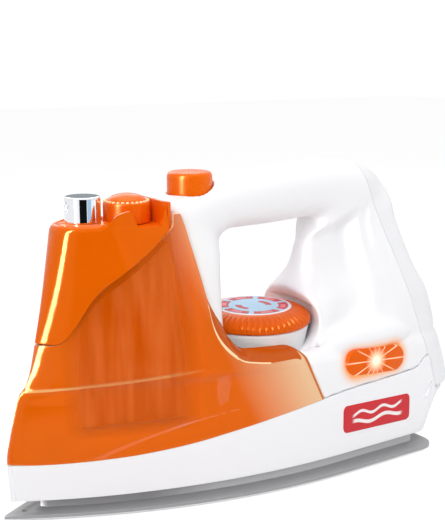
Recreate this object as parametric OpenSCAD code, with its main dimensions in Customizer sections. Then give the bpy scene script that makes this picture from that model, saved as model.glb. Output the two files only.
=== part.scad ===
// Toy steam iron with a sprayer, in millimetres.
// The nose points along -X, the heel along +X, and +Z is up.
// Places along the iron are measured back from the nose tip of the sole.

/* [Overall] */
// Length from the nose tip of the sole to the back of the heel
total_l = 253; // [248:1:260]
// Height from the resting face to the top of the grip
body_h = 157.6; // [154:0.2:161]
// Widest width of the sole
sole_w = 98; // [95:1:104]
// Wall thickness of the plastic shells
wall = 2.2; // [1.8:0.1:2.4]
// Gap between a shell and its neighbour
fit = 0.3; // [0.2:0.05:0.35]
// Running gap between a turning or sliding pin and its bore
run_fit = 0.1; // [0.06:0.01:0.14]

/* [Sole] */
// Length of the sole
sole_l = 231; // [226:1:234]
// Thickness of the outer flange
flange_t = 3.2; // [2.8:0.1:3.6]
// Height of the narrower lip under the flange
lip_t = 1.2; // [0.8:0.1:1.6]
// Set-in of that lip
lip_in = 1.6; // [1:0.1:2]
// Height of the inner plateau above the flange
plateau_t = 6.4; // [6:0.1:6.8]
// Set-in of the plateau from the edge of the flange
plateau_in = 9.5; // [8:0.1:11]
// Radius of the two rear corners
sole_corner = 9; // [6:0.5:12]

/* [Base housing] */
// Radius of the heel corners in plan
heel_corner = 15; // [12:0.5:17]
// Radius of the locating pin under the nose
nose_pin_r = 1.2; // [1:0.1:1.4]
// Distance of that pin behind the nose tip
nose_pin_back = 10.3; // [9.8:0.1:11]
// Radius of a sole screw boss
boss_r = 4; // [3.6:0.1:4.6]
// Height of a sole screw boss above the floor
boss_h = 9; // [8:0.5:10]

/* [Screws] */
// Radius of a screw shank
screw_r = 1.4; // [1.2:0.1:1.6]
// Radius of a screw head
screw_head_r = 2.8; // [2.4:0.1:3]
// Height of a screw head
screw_head_h = 1.8; // [1.4:0.1:2]
// Length of a sole screw under its head
sole_screw_l = 14; // [12:0.5:15]
// Radius of the bosses that join the two body halves
joint_boss_r = 3.6; // [3.2:0.1:3.8]
// Depth of the screw head pockets in the right half
joint_pocket = 4; // [3:0.5:5]

/* [Clear front shell] */
// Width of the ledge that runs round the tail of the shell
ledge_w = 9; // [7:0.5:10]

/* [Hood] */
// Height of the seat round the filler
hood_deck_z = 135.3; // [134.6:0.1:135.8]
// Height of the nozzle platform above that seat
platform_h = 2.2; // [1.8:0.1:2.6]
// Length of the nozzle platform, behind the nose tip
platform_back = 54; // [53.4:0.1:55]
// Thickness of the wall behind the filler
back_wall_t = 1.6; // [1.4:0.1:1.8]
// Height of the wall behind the filler above the seat
back_wall_h = 10.5; // [9:0.5:12]

/* [Nozzle] */
// Distance of the nozzle behind the nose tip
nozzle_back = 44.5; // [44:0.1:45]
// Radius of the chromed cap
nozzle_r = 8.4; // [8:0.1:8.6]
// Height of the chromed cap
nozzle_h = 12; // [11:0.5:13]
// Wall of the chromed cap
nozzle_wall = 1.2; // [1:0.1:1.4]
// Radius of the spray hole in its front
spray_r = 2.5; // [2.2:0.1:2.8]
// Radius of the jet drilled in the insert
jet_r = 0.6; // [0.5:0.1:0.8]

/* [Filler] */
// Distance of the filler behind the nose tip
filler_back = 67.5; // [67:0.1:67.8]
// Radius of the filler cap
filler_r = 11.2; // [10.8:0.1:11.4]
// Height of the rim of the cap
filler_rim_h = 10; // [9:0.5:11]
// Rise of the domed top
filler_dome_h = 3.2; // [2.6:0.1:3.8]
// Number of beads round the rim
filler_beads = 28; // [20:1:32]
// Radius of one bead
bead_r = 0.45; // [0.35:0.05:0.5]
// Outer radius of the tank neck
neck_r = 8.6; // [8.2:0.1:8.7]
// Wall of the tank neck
neck_wall = 1.4; // [1.2:0.1:1.6]
// Depth of the plug in the neck
plug_h = 7; // [6:0.5:8]
// Thickness of the seal ring
seal_t = 1.6; // [1.4:0.1:1.8]

/* [Water tank] */
// Height of the tank floor above the resting face
tank_z = 42; // [41.6:0.1:43]
// Height of the tank body
tank_h = 84; // [82:0.5:85]
// Wall of the tank
tank_wall = 1.5; // [1.3:0.1:1.7]
// Depth of the flutes on its sides
flute_depth = 0.8; // [0.5:0.1:0.9]
// Radius of the outlet stub at the foot
stub_r = 2.6; // [2.4:0.1:2.8]

/* [Pump] */
// Distance of the pump and its button behind the nose tip
pump_back = 102.7; // [102.4:0.1:102.9]
// Radius of the button
button_r = 11.2; // [10.8:0.1:11.4]
// Height of the top of the button
button_top_z = 157; // [156:0.2:157.4]
// Height of the button
button_h = 19; // [18:0.5:19.5]
// Wall of the button
button_wall = 1.6; // [1.4:0.1:1.8]
// Radius of the rounded top edge of the button
button_edge = 1.8; // [1.4:0.1:2]
// Travel of the button
button_travel = 6; // [5:0.5:6]
// Outer radius of the pump barrel
barrel_r = 6; // [5.8:0.1:6.2]
// Wall of the pump barrel
barrel_wall = 1.2; // [1:0.1:1.4]
// Height of the pump barrel
barrel_h = 33; // [32:0.5:33.5]
// Height of the guide flange above the foot of the barrel
flange_up = 22; // [21:0.5:23]
// Height of the foot of the barrel
barrel_z = 96; // [95:0.5:97]
// Radius of the guide flange at the top of the barrel
guide_r = 7.6; // [7.4:0.1:7.8]
// Thickness of the guide flange
guide_t = 1.6; // [1.4:0.1:1.8]
// Radius of the piston rod
rod_r = 2; // [1.8:0.1:2.2]
// Radius of the piston
piston_r = 4.1; // [3.9:0.1:4.2]
// Height of the piston
piston_h = 5; // [4:0.5:6]
// Outer radius of the supply and spray tubes
tube_r = 1.6; // [1.4:0.1:1.8]
// Wall of those tubes
tube_wall = 0.5; // [0.4:0.05:0.6]
// Sideways offset of the spray tube past the filler neck
tube_side = 10.8; // [10.7:0.1:11.4]

/* [Return spring] */
// Middle radius of the coil
spring_r = 6.2; // [5.8:0.1:6.6]
// Radius of the wire
spring_wire_r = 0.5; // [0.4:0.05:0.6]
// Turns of the coil
spring_turns = 6; // [5:1:7]

/* [Dial] */
// Distance of the dial behind the nose tip
dial_back = 141.7; // [141:0.1:143]
// Radius of the dial
dial_r = 30; // [29:0.1:30.4]
// Height of the rim of the dial
dial_t = 6.6; // [6.2:0.1:7]
// Height of its underside
dial_z = 75.6; // [75:0.1:76]
// Rise of the sloping shoulder of the dial
shoulder_h = 1.4; // [1.2:0.1:1.6]
// Grip ribs round the dial
dial_ribs = 56; // [40:1:64]
// Depth of a grip rib
rib_depth = 0.6; // [0.4:0.1:0.8]
// Radius of the printed disc
label_r = 19.9; // [19:0.1:20.4]
// Thickness of the printed disc
label_t = 0.5; // [0.4:0.1:0.6]
// Radius of the stem of the dial
stem_r = 4; // [3.6:0.1:4.4]
// Length of the stem
stem_l = 16; // [15:0.5:17]
// Radius of the round seat under the dial
seat_r = 28; // [27:0.1:28.6]
// Radius of the clip that holds the stem
clip_r = 7.4; // [7:0.1:8]
// Thickness of that clip
clip_t = 1.6; // [1.4:0.1:1.8]

/* [Lamp] */
// Distance of the lamp behind the nose tip
lamp_back = 192; // [191:0.5:193]
// Height of the middle of the lamp
lamp_z = 55.2; // [54.6:0.1:55.6]
// Length of the lamp lens
lamp_l = 40; // [38:0.5:42]
// Height of the lamp lens
lamp_h = 14; // [13:0.5:14.5]
// Downward tilt of the lens towards the heel
lamp_tilt = 4.7; // [3:0.1:6]
// How far the lens stands proud of the side
lamp_proud = 1.2; // [0.8:0.1:1.6]
// Radius of one lamp bulb
bulb_r = 2.5; // [2.2:0.1:2.8]

/* [Side label] */
// Distance of the middle of the label behind the nose tip
badge_back = 192.2; // [191:0.5:193]
// Height of the middle of the label
badge_z = 26.6; // [26.2:0.1:27]
// Length of the label
badge_l = 47; // [44:0.5:48]
// Height of the label
badge_h = 14.5; // [13:0.5:15]
// Thickness of the label
badge_t = 0.25; // [0.2:0.05:0.3]
// Tilt of the label, up towards the heel
badge_tilt = 2; // [0:0.5:4]

/* [Electronics] */
// Distance of the circuit board behind the nose tip
board_back = 192; // [190:0.5:194]
// Length of the circuit board
board_l = 44; // [40:1:46]
// Width of the circuit board
board_w = 50; // [46:1:54]
// Thickness of the circuit board
board_t = 1.6; // [1.4:0.1:1.8]
// Height of the underside of the board
board_z = 24; // [22:0.5:26]
// Distance of the speaker behind the nose tip
speaker_back = 138; // [134:0.5:142]
// Radius of the speaker
speaker_r = 14; // [12:0.5:15]
// Height of the speaker
speaker_h = 6; // [5:0.5:7]

/* [Battery] */
// Diameter of a cell
cell_d = 14.5; // [14.1:0.1:14.6]
// Length of a cell
cell_l = 50.5; // [50:0.1:50.6]
// Height of the lower edge of the battery door
door_z = 38.5; // [38:0.1:39]
// Height of the battery door
door_h = 36; // [35.6:0.1:36.4]
// Width of the battery door
door_w = 58; // [57:0.5:59]
// Wall of the battery case
case_wall = 1.8; // [1.6:0.1:2]
// How far the door opens, in degrees
door_open = 70; // [50:1:75]

/* [Power switch] */
// Height of the middle of the switch
switch_z = 98; // [97:0.5:99]
// Width of the switch knob
knob_w = 6; // [5:0.5:7]
// Height of the switch knob
knob_h = 4; // [3.5:0.1:4.5]
// Travel of the knob
knob_travel = 4; // [3:0.5:4.5]

/* [Hidden] */

// Sides of round pieces
$fn = 48;
// Overrun of every cut
cut = wall;
half_w = sole_w / 2;
skirt_z = flange_t + plateau_t;
floor_z = skirt_z + wall;

// Heights of the stations of the outer form, as shares of the body height
level_shares = [0.06, 0.19, 0.26, 0.35, 0.375, 0.41, 0.53, 0.87];
// Set-back of the nose there, as shares of the total length
nose_shares = [0.014, 0.01, 0.018, 0.032, 0.037, 0.053, 0.073, 0.116];
// Largest half width there, as shares of half the sole width
width_shares = [0.888, 0.867, 0.847, 0.812, 0.8, 0.771, 0.673, 0.398];
// Length over which the nose widens there, as shares of the total length
taper_shares = [0.652, 0.652, 0.64, 0.613, 0.593, 0.466, 0.387, 0.158];
// Fullness of the nose there, from 1 for a wedge down to 0.4 for a blunt front
blunt_shares = [0.92, 0.92, 0.9, 0.9, 0.88, 0.85, 0.74, 0.42];
// Back of the heel, as pairs of shares of the height and the total length
heel_shares = [[0.025, 0.919], [0.063, 0.931], [0.178, 0.97], [0.228, 1], [0.279, 0.994],
    [0.381, 0.978], [0.422, 0.972], [0.508, 0.962]];
// Seam on top of the base housing, as pairs of shares of the length and the height
seam_shares = [[0, 0.175], [0.08, 0.173], [0.2, 0.178], [0.27, 0.186], [0.34, 0.198], [0.4, 0.212],
    [0.44, 0.221], [0.54, 0.244], [0.61, 0.259], [0.7, 0.273], [0.81, 0.282], [0.877, 0.291],
    [0.913, 0.325], [0.935, 0.197], [1.1, 0.197]];
// Upper and lower end of the seam of the rear cover
cover_seam_shares = [[0.801, 0.99], [0.808, 0.952], [0.935, 0.197]];
// Rim of the clear shell round the tail, above which its ledge rolls inwards
rim_shares = [[0.372, 0.635], [0.379, 0.552], [0.395, 0.492], [0.418, 0.452], [0.437, 0.431],
    [0.462, 0.421], [0.502, 0.411], [0.571, 0.409], [0.64, 0.409]];
// Top of that ledge
ledge_top_shares = [[0.372, 0.636], [0.389, 0.582], [0.406, 0.543], [0.421, 0.498], [0.454, 0.456],
    [0.476, 0.451], [0.521, 0.445], [0.569, 0.441], [0.64, 0.441]];
// Stretch over which the ledge gains its full width
ledge_start_shares = [0.372, 0.454];
// Upper edge of the clear shell, column by column
shell_head_shares = [[0.073, 0.527], [0.083, 0.527], [0.095, 0.527], [0.105, 0.53], [0.117, 0.546],
    [0.13, 0.577], [0.144, 0.615], [0.16, 0.657], [0.182, 0.695], [0.213, 0.73], [0.245, 0.765],
    [0.277, 0.803], [0.31, 0.841], [0.3215, 0.86], [0.324, 0.89], [0.335, 0.89], [0.343, 0.863], [0.35, 0.812],
    [0.358, 0.749], [0.366, 0.685], [0.372, 0.635], [0.389, 0.582], [0.406, 0.543], [0.421, 0.498],
    [0.454, 0.456], [0.476, 0.451], [0.521, 0.445], [0.557, 0.44], [0.577, 0.422], [0.587, 0.39],
    [0.595, 0.355], [0.609, 0.301], [0.618, 0.265]];
// Foot of the clear shell, column by column
shell_foot_shares = [0.01, 0.018, 0.03, 0.045, 0.063, 0.083, 0.103, 0.123, 0.146, 0.17, 0.194, 0.217,
    0.241, 0.257, 0.267, 0.278, 0.291, 0.305, 0.32, 0.336, 0.352, 0.372, 0.395, 0.421, 0.447, 0.47, 0.504,
    0.538, 0.565, 0.583, 0.595, 0.607, 0.618];
// Heights at which the clear shell has a row of points, foot to head
shell_row_shares = [0, 0.2, 0.4, 0.5, 0.6, 0.8, 1];
// Lower and upper edge of the hood, column by column
hood_foot_shares = [[0.073, 0.527], [0.081, 0.527], [0.091, 0.527], [0.103, 0.529], [0.117, 0.546],
    [0.13, 0.577], [0.144, 0.615], [0.16, 0.657], [0.182, 0.695], [0.206, 0.721], [0.225, 0.742],
    [0.245, 0.765], [0.265, 0.788], [0.285, 0.812], [0.3, 0.831], [0.31, 0.841]];
hood_head_shares = [[0.116, 0.873], [0.12, 0.873], [0.127, 0.873], [0.138, 0.873], [0.15, 0.873],
    [0.166, 0.873], [0.182, 0.874], [0.196, 0.882], [0.209, 0.9], [0.232, 0.91], [0.242, 0.884],
    [0.251, 0.86], [0.273, 0.86], [0.299, 0.86], [0.309, 0.888], [0.318, 0.925]];
hood_row_shares = [0, 0.25, 0.5, 0.75, 1];
// Rear end of the clear shell, where the white body becomes flush with it
tail_first = len(shell_head_shares) - 1;
tail_shares = [for (i = [tail_first:-1:tail_first - 5]) [shell_head_shares[i][1], shell_head_shares[i][0]]];
// Front of the body behind the water tank
core_front_share = 0.387;
// Heights of the rings of the body under the ledge
core_level_shares = [0.17, 0.26, 0.35, 0.393, 0.409, 0.422, 0.434, 0.447];
// Rings of the rear deck: height, and the share of the rounding of its upper edge
deck_level_shares = [[0.18, 0], [0.228, 0], [0.279, 0], [0.33, 0], [0.381, 0.06], [0.4, 0.24],
    [0.414, 0.55], [0.422, 1]];
// Width of that rounding, and the share of it that is left at the heel
deck_round = ledge_w;
heel_round_share = 0.35;
// Stations of the handle, front foot to rear foot: inner point, outer point, half width,
// share of the depth at which the section is widest, and squareness
loop_shares = [
    [0.445, 0.381, 0.391, 0.381, 0.571, 0.5, 2.6],
    [0.44, 0.457, 0.379, 0.457, 0.551, 0.5, 2.6],
    [0.436, 0.539, 0.358, 0.539, 0.541, 0.5, 2.6],
    [0.438, 0.635, 0.346, 0.635, 0.51, 0.5, 2.6],
    [0.446, 0.742, 0.334, 0.761, 0.439, 0.5, 2.6],
    [0.453, 0.777, 0.328, 0.895, 0.357, 0.5, 2.6],
    [0.464, 0.796, 0.399, 0.947, 0.333, 0.5, 2.5],
    [0.49, 0.806, 0.46, 0.966, 0.316, 0.5, 2.4],
    [0.555, 0.806, 0.551, 0.982, 0.306, 0.5, 2.3],
    [0.646, 0.811, 0.65, 0.995, 0.306, 0.5, 2.3],
    [0.686, 0.816, 0.729, 1, 0.316, 0.5, 2.3],
    [0.696, 0.806, 0.802, 0.99, 0.333, 0.5, 2.3],
    [0.694, 0.784, 0.852, 0.961, 0.343, 0.5, 2.4],
    [0.682, 0.749, 0.883, 0.901, 0.357, 0.5, 2.5],
    [0.67, 0.698, 0.891, 0.812, 0.418, 0.52, 2.7],
    [0.662, 0.647, 0.905, 0.723, 0.51, 0.54, 3],
    [0.646, 0.59, 0.925, 0.635, 0.602, 0.55, 3.3],
    [0.623, 0.533, 0.953, 0.552, 0.68, 0.55, 3.7],
    [0.587, 0.476, 0.968, 0.476, 0.724, 0.52, 4],
    [0.553, 0.419, 0.973, 0.419, 0.755, 0.5, 4.2],
    [0.575, 0.37, 0.972, 0.37, 0.75, 0.5, 4.2]];
// Angle between two points of a handle section
loop_step = 15;
// Section of the rear pillar, inner to outer face: depth, and share of the full half width there
pillar_shares = [[0, 0], [0.012, 0.2], [0.04, 0.36], [0.1, 0.48], [0.17, 0.52], [0.27, 0.5],
    [0.36, 0.55], [0.45, 0.72], [0.53, 0.93], [0.6, 1], [0.86, 1], [0.95, 0.9], [0.99, 0.55], [1, 0]];
// Stations over which the rounded section turns into that of the pillar, and its share there
pillar_part_shares = [[12.5, 0], [15.5, 1]];
// Screws that join the halves: place, height and half width of the body there
joint_shares = [[0.506, 0.9, 0.29], [0.812, 0.9, 0.29], [0.838, 0.6, 0.6], [0.435, 0.33, 0.66]];
// Screws of the sole: place, and side as a share of half the sole width
sole_screw_shares = [[0.2, 0], [0.46, 0.45], [0.46, -0.45], [0.82, 0.5], [0.82, -0.5]];
// Posts under the circuit board, as shares of its length and width
board_post_shares = [[-0.4, -0.4], [-0.4, 0.4], [0.4, -0.4], [0.4, 0.4]];
// How far the wedge of the nose moves back for each millimetre of set-in
nose_lead = 1.9;

// Places and outlines
function place(back) = back - total_l / 2;
function table(values) = [for (i = [0:len(level_shares) - 1]) [level_shares[i], values[i]]];
function at_height(z, values) = lookup(z / body_h, table(values));
function nose_at(z) = total_l * at_height(z, nose_shares);
function width_at(z) = half_w * at_height(z, width_shares);
function heel_at(z) = total_l * lookup(z / body_h, heel_shares);
function seam_at(back) = body_h * lookup(back / total_l, seam_shares);
function tail_at(z) = total_l * lookup(z / body_h, tail_shares);
function clamp(t) = max(0, min(1, t));
function mix(a, b, t) = a + (b - a) * t;
function widening(t, fullness) = pow(1 - pow(1 - clamp(t), 2), fullness);

// Half width of the outer form at a distance behind its nose
function form_w(from_nose, z) =
    width_at(z) * widening(from_nose / (total_l * at_height(z, taper_shares)), at_height(z, blunt_shares));

// Inward roll of the ledge, and its share of the full width
function rim_at(back) = body_h * lookup(back / total_l, rim_shares);
function ledge_top_at(back) = body_h * lookup(back / total_l, ledge_top_shares);
function ledge_gain(back) = clamp((back / total_l - ledge_start_shares[0])
    / (ledge_start_shares[1] - ledge_start_shares[0]));
function roll_share(back, z) =
    pow(clamp((z - rim_at(back)) / (ledge_top_at(back) - rim_at(back) + fit)), 2) * ledge_gain(back);
function roll(back, z) = ledge_w * roll_share(back, z);

// Far side first, round the nose, then the near side
function both_sides(side) =
    concat([for (i = [len(side) - 1:-1:1]) [side[i][0], -side[i][1], side[i][2]]], side);
// The same for a form with a flat front
function flat_front(side) =
    concat([for (i = [len(side) - 1:-1:0]) [side[i][0], -side[i][1], side[i][2]]], side);
function joined(rows) = [for (row = rows) each row];
function quad(a, b, c, d) = [[a, b, c], [a, c, d]];

// A wall between two grids of points; a ring closes on itself
module sheet(outer, inner, ring = false) {
    rows = len(outer);
    cols = len(outer[0]);
    count = rows * cols;
    last = cols - 1;
    spans = [0:(ring ? cols - 1 : cols - 2)];
    skin = [for (r = [0:rows - 2], c = spans)
        let (a = r * cols + c, d = r * cols + (c + 1) % cols)
        each quad(a, a + cols, d + cols, d)];
    back = [for (f = skin) [f[2] + count, f[1] + count, f[0] + count]];
    foot = [for (c = spans) let (d = (c + 1) % cols) each quad(d, d + count, c + count, c)];
    top = (rows - 1) * cols;
    head = [for (c = spans) let (a = top + c, d = top + (c + 1) % cols)
        each quad(a, a + count, d + count, d)];
    start = ring ? [] : [for (r = [0:rows - 2]) let (a = r * cols)
        each quad(a, a + count, a + cols + count, a + cols)];
    end = ring ? [] : [for (r = [0:rows - 2]) let (a = r * cols + last)
        each quad(a + cols, a + cols + count, a + count, a)];
    polyhedron(concat(joined(outer), joined(inner)), concat(skin, back, foot, head, start, end));
}

// A solid through rings of points, closed by a flat face at each end; where the rings are
// mirror images about the middle, that face is made of strips from side to side
module loft(rings, mirrored = true) {
    rows = len(rings);
    cols = len(rings[0]);
    skin = [for (r = [0:rows - 2], c = [0:cols - 1])
        let (a = r * cols + c, d = r * cols + (c + 1) % cols)
        each quad(a, a + cols, d + cols, d)];
    top = (rows - 1) * cols;
    strips = [for (c = [0:floor(cols / 2) - 2]) quad(c, c + 1, cols - 2 - c, cols - 1 - c)];
    apex = cols % 2 == 0 ? [] : [[(cols - 3) / 2, (cols - 1) / 2, (cols + 1) / 2]];
    foot = mirrored ? concat(joined(strips), apex) : [[for (c = [0:cols - 1]) c]];
    head = [for (f = foot) [for (i = [len(f) - 1:-1:0]) f[i] + top]];
    polyhedron(joined(rings), concat(skin, foot, head));
}

// Everything inside a side view outline, over the whole width
module side_region(points) {
    translate([0, sole_w, 0])
    rotate([90, 0, 0])
    linear_extrude(2 * sole_w)
    polygon([for (p = points) [place(p[0] * total_l), p[1] * body_h]]);
}

// Corner of a plan outline, from the side round to the back
function corner_points(end, side, r) = [for (a = [15:15:90])
    [end - r * (1 - sin(a)), side - r * (1 - cos(a))]];

// Outline of the sole: the length over which it widens, and its fullness
sole_taper_share = 0.67;
sole_fullness = 0.97;
function sole_points(inset) =
    let (tip = inset * nose_lead)
    let (r = max(sole_corner - inset, lip_in))
    let (stop = sole_l - inset - r)
    let (side = [for (s = [0:0.05:1])
        let (back = mix(tip, stop, pow(s, 1.4)))
        [back, s == 0 ? 0
            : half_w * widening(back / (sole_taper_share * total_l), sole_fullness) - inset]])
    let (near = concat(side, corner_points(sole_l - inset, side[20][1], r)))
    concat([for (p = near) [place(p[0]), -p[1]]],
        [for (i = [len(near) - 1:-1:1]) [place(near[i][0]), near[i][1]]]);

module sole_outline(inset, h) {
    linear_extrude(h)
    polygon(sole_points(inset));
}

module at_sole_screws() {
    for (p = sole_screw_shares)
        translate([place(p[0] * total_l), p[1] * half_w, 0])
        children();
}

module sole_plate() {
    color("silver")
    difference() {
        union() {
            sole_outline(lip_in, lip_t);
            translate([0, 0, lip_t]) sole_outline(0, flange_t - lip_t);
            translate([0, 0, flange_t]) sole_outline(plateau_in, plateau_t);
        }
        at_sole_screws() {
            translate([0, 0, -cut]) cylinder(h = skirt_z + 2 * cut, r = screw_r + run_fit);
            translate([0, 0, -cut]) cylinder(h = screw_head_h + lip_t + cut, r = screw_head_r + fit);
        }
        translate([place(nose_pin_back), 0, flange_t - lip_t])
            cylinder(h = flange_t, r = nose_pin_r + run_fit);
    }
}

// Plan outline of the housing at one height, nose to heel on one side
side_steps = [0:0.0625:1];
function ring_side(z, inset) =
    let (nose = nose_at(z))
    let (tip = nose + inset * nose_lead)
    let (end = heel_at(z) - inset)
    let (r = heel_corner - inset)
    let (side = [for (s = side_steps)
        let (back = mix(tip, end - r, pow(s, 1.5)))
        [back, s == 0 ? 0 : form_w(back - nose, z) - inset]])
    concat(side, corner_points(end, side[len(side) - 1][1], r));

// Rows of the housing wall, from its foot to above the highest point of its seam
base_row_shares = [0, 0.3, 0.55, 0.8, 1];
base_over = 0.34 * body_h;
function base_grid(inset) = [for (row = base_row_shares)
    let (z = mix(skirt_z, base_over, row))
    both_sides([for (p = ring_side(z, inset)) [place(p[0]), -p[1], z]])];
// Side view of the housing: everything under its seam
base_outline = concat([[-0.1, -0.1], [-0.1, seam_shares[0][1]]],
    [for (p = seam_shares) p], [[1.1, -0.1]]);

module base_housing() {
    color("white")
    difference() {
        union() {
            intersection() {
                sheet(base_grid(0), base_grid(wall), ring = true);
                translate([0, 0, -fit / 2]) side_region(base_outline);
            }
            translate([0, 0, skirt_z])
                linear_extrude(wall)
                polygon([for (p = both_sides([for (q = ring_side(skirt_z, wall / 2)) [place(q[0]), -q[1], 0]]))
                    [p[0], p[1]]]);
            at_sole_screws() translate([0, 0, skirt_z]) cylinder(h = wall + boss_h, r = boss_r);
            translate([place(nose_pin_back), 0, flange_t - lip_t + fit])
                cylinder(h = skirt_z - flange_t + lip_t, r = nose_pin_r);
            at_board_posts() translate([0, 0, skirt_z]) cylinder(h = board_z - skirt_z, r = boss_r * 0.6);
        }
        at_sole_screws() translate([0, 0, -cut]) cylinder(h = skirt_z + wall + boss_h, r = screw_r + run_fit / 2);
    }
}

module at_board_posts() {
    for (p = board_post_shares)
        translate([place(board_back + p[0] * board_l), p[1] * board_w, 0])
        children();
}

// White body under the ledge of the clear shell
core_gap = wall + 3 * fit;
core_over = 2 * wall;
function core_ring(z, inset) =
    let (front = core_front_share * total_l + inset)
    let (end = tail_at(z) + core_over)
    let (drop = inset > 0 ? wall : 0)
    let (nose = nose_at(z))
    flat_front([for (s = [0:0.125:1])
        let (back = mix(front, end, s))
        [place(back), -(form_w(back - nose, z) - core_gap - inset - roll(back, z + core_gap)), z - drop]]);
module core_solid(inset) {
    loft([for (z = core_level_shares) core_ring(z * body_h, inset)]);
}

// White rear deck, flush with the base housing
function deck_ring(z, rounding, inset) =
    let (front = tail_at(z) + 2 * fit + inset)
    let (end = heel_at(z) - inset)
    let (r = heel_corner - inset)
    let (nose = nose_at(z))
    let (side = [for (s = [0:0.125:1])
        let (back = mix(front, end - r, s))
        [back, form_w(back - nose, z) - inset - rounding * deck_round * mix(1, heel_round_share, s)]])
    let (near = concat(side, corner_points(end, side[8][1], r)))
    flat_front([for (p = near) [place(p[0]), -p[1], z - (inset > 0 ? wall * rounding : 0)]]);
module deck_solid(inset) {
    loft([for (p = deck_level_shares) deck_ring(p[0] * body_h, p[1], inset)]);
}

// Handle, from the front foot over the grip to the rear foot
function power(c, e) = sign(c) * pow(abs(c), 2 / e);
function loop_ring(i, inset) =
    let (s = loop_shares[i])
    let (a = [place(s[0] * total_l), s[1] * body_h])
    let (b = [place(s[2] * total_l), s[3] * body_h])
    let (u = (b - a) / norm(b - a))
    let (low = a + inset * u)
    let (high = b - inset * u)
    let (centre = mix(low, high, s[5]))
    let (w = s[4] * half_w - inset)
    let (part = lookup(i, pillar_part_shares))
    [for (t = [0:loop_step:359])
        let (reach = cos(t) < 0 ? norm(centre - low) : norm(high - centre))
        let (round_p = centre + u * reach * power(cos(t), s[6]))
        let (even_p = mix(low, high, (1 + cos(t)) / 2))
        let (p = mix(round_p, even_p, part))
        let (wide = s[4] * half_w * lookup(norm(even_p - a) / norm(b - a), pillar_shares) - inset)
        let (pillar_w = wide * sign(sin(t)) * min(1, abs(sin(t)) / sin(loop_step)))
        [p[0], -mix(w * power(sin(t), s[6]), pillar_w, part), p[1]]];
module loop_solid(inset) {
    loft([for (i = [0:len(loop_shares) - 1]) loop_ring(i, inset)], mirrored = false);
}

module body_solid() {
    core_solid(0);
    deck_solid(0);
    loop_solid(0);
}
module body_void() {
    core_solid(wall);
    deck_solid(wall);
    loop_solid(wall);
}

module pill(long, high, t) {
    rotate([90, 0, 0])
    linear_extrude(t, center = true) {
        square([long - high, high], center = true);
        for (side = [-1, 1])
            translate([side * (long - high) / 2, 0]) circle(d = high);
    }
}

// Side of the body at the lamp
lamp_side = form_w(lamp_back - nose_at(lamp_z), lamp_z);
module at_lamp(side) {
    translate([place(lamp_back), side * lamp_side, lamp_z])
    rotate([0, lamp_tilt, 0])
    children();
}

// Side view of the two body halves, above the base and before the rear cover: a share past
// each end, and how far the core reaches down behind the clear shell
past_share = 1.1;
lap_share = 0.012;
core_seam = [for (p = seam_shares) if (p[0] > core_front_share / 1.3 && p[0] < tail_shares[1][1] - lap_share)
    [p[0], p[1] - lap_share]];
deck_seam = [for (p = seam_shares) if (p[0] >= tail_shares[1][1] && p[0] < cover_seam_shares[2][0]) p];
body_outline = concat([[core_front_share / 1.3, past_share], [core_front_share / 1.3, 0.17]],
    core_seam, deck_seam, [cover_seam_shares[1], cover_seam_shares[0], [cover_seam_shares[0][0], past_share]]);
cover_outline = concat([[cover_seam_shares[0][0], past_share]], cover_seam_shares,
    [[past_share, cover_seam_shares[2][1]], [past_share, past_share]]);

hub_r = stem_r + run_fit + wall * 0.8;
shelf_z = barrel_z + flange_up;
spray_z = barrel_z + barrel_h + 0.25 * wall;

module joint_bosses() {
    for (p = joint_shares)
        translate([place(p[0] * total_l), 0, p[1] * body_h])
        rotate([90, 0, 0])
        cylinder(h = 2 * p[2] * half_w - 2 * fit, r = joint_boss_r, center = true);
}
module joint_holes() {
    for (p = joint_shares) {
        side = p[2] * half_w;
        translate([place(p[0] * total_l), side, p[1] * body_h])
            rotate([90, 0, 0])
            cylinder(h = 2 * side - joint_pocket, r = screw_r + run_fit);
        translate([place(p[0] * total_l), side + cut, p[1] * body_h])
            rotate([90, 0, 0])
            cylinder(h = joint_pocket + cut, r = screw_head_r + fit);
    }
}

// Room for the dial and its seat in the foot of the rear pillar
module dial_pocket() {
    top = dial_z + dial_t + shoulder_h + label_t + 2 * fit;
    translate([place(dial_back), 0, core_top + fit / 2])
        cylinder(h = top - core_top, r = dial_r + 2 * fit);
    difference() {
        translate([place(dial_back), 0, deck_top + fit / 2]) cylinder(h = dial_z - deck_top, r = dial_r + 2 * fit);
        translate([place(seat_step_back) - total_l - fit, -sole_w, 0]) cube([total_l, 2 * sole_w, body_h]);
    }
}

module body_half(side) {
    difference() {
        intersection() {
            union() {
                difference() {
                    body_solid();
                    body_void();
                }
                joint_bosses();
                intersection() {
                    body_solid();
                    translate([place(pump_back) - 2 * guide_r, -2 * guide_r, shelf_z - guide_t])
                        cube([4 * guide_r, 4 * guide_r, guide_t]);
                }
            }
            side_region(body_outline);
            translate([-total_l, side < 0 ? -sole_w : 0, 0]) cube([2 * total_l, sole_w, 2 * body_h]);
        }
        joint_holes();
        translate([place(pump_back), 0, body_h - button_r * 2])
            cylinder(h = button_r * 3, r = button_r + fit);
        translate([place(pump_back), 0, barrel_z]) cylinder(h = barrel_h, r = barrel_r + run_fit);
        translate([place(dial_back), 0, board_z]) cylinder(h = dial_z - board_z, r = hub_r + fit);
        dial_pocket();
        at_lamp(side) pill(lamp_l + 2 * fit, lamp_h + 2 * fit, 6 * wall);
        translate([place(core_front_share * total_l) - cut, 0, tank_z + stub_r + tank_wall])
            rotate([0, 90, 0]) cylinder(h = wall + 2 * cut, r = stub_r + fit);
        translate([place(core_front_share * total_l) - 8 * cut, tube_side, spray_z])
            rotate([0, 90, 0]) cylinder(h = 9 * cut, r = tube_r + fit);
    }
}
module body_left() {
    color("white") body_half(-1);
}
module body_right() {
    color("white") body_half(1);
}

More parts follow.
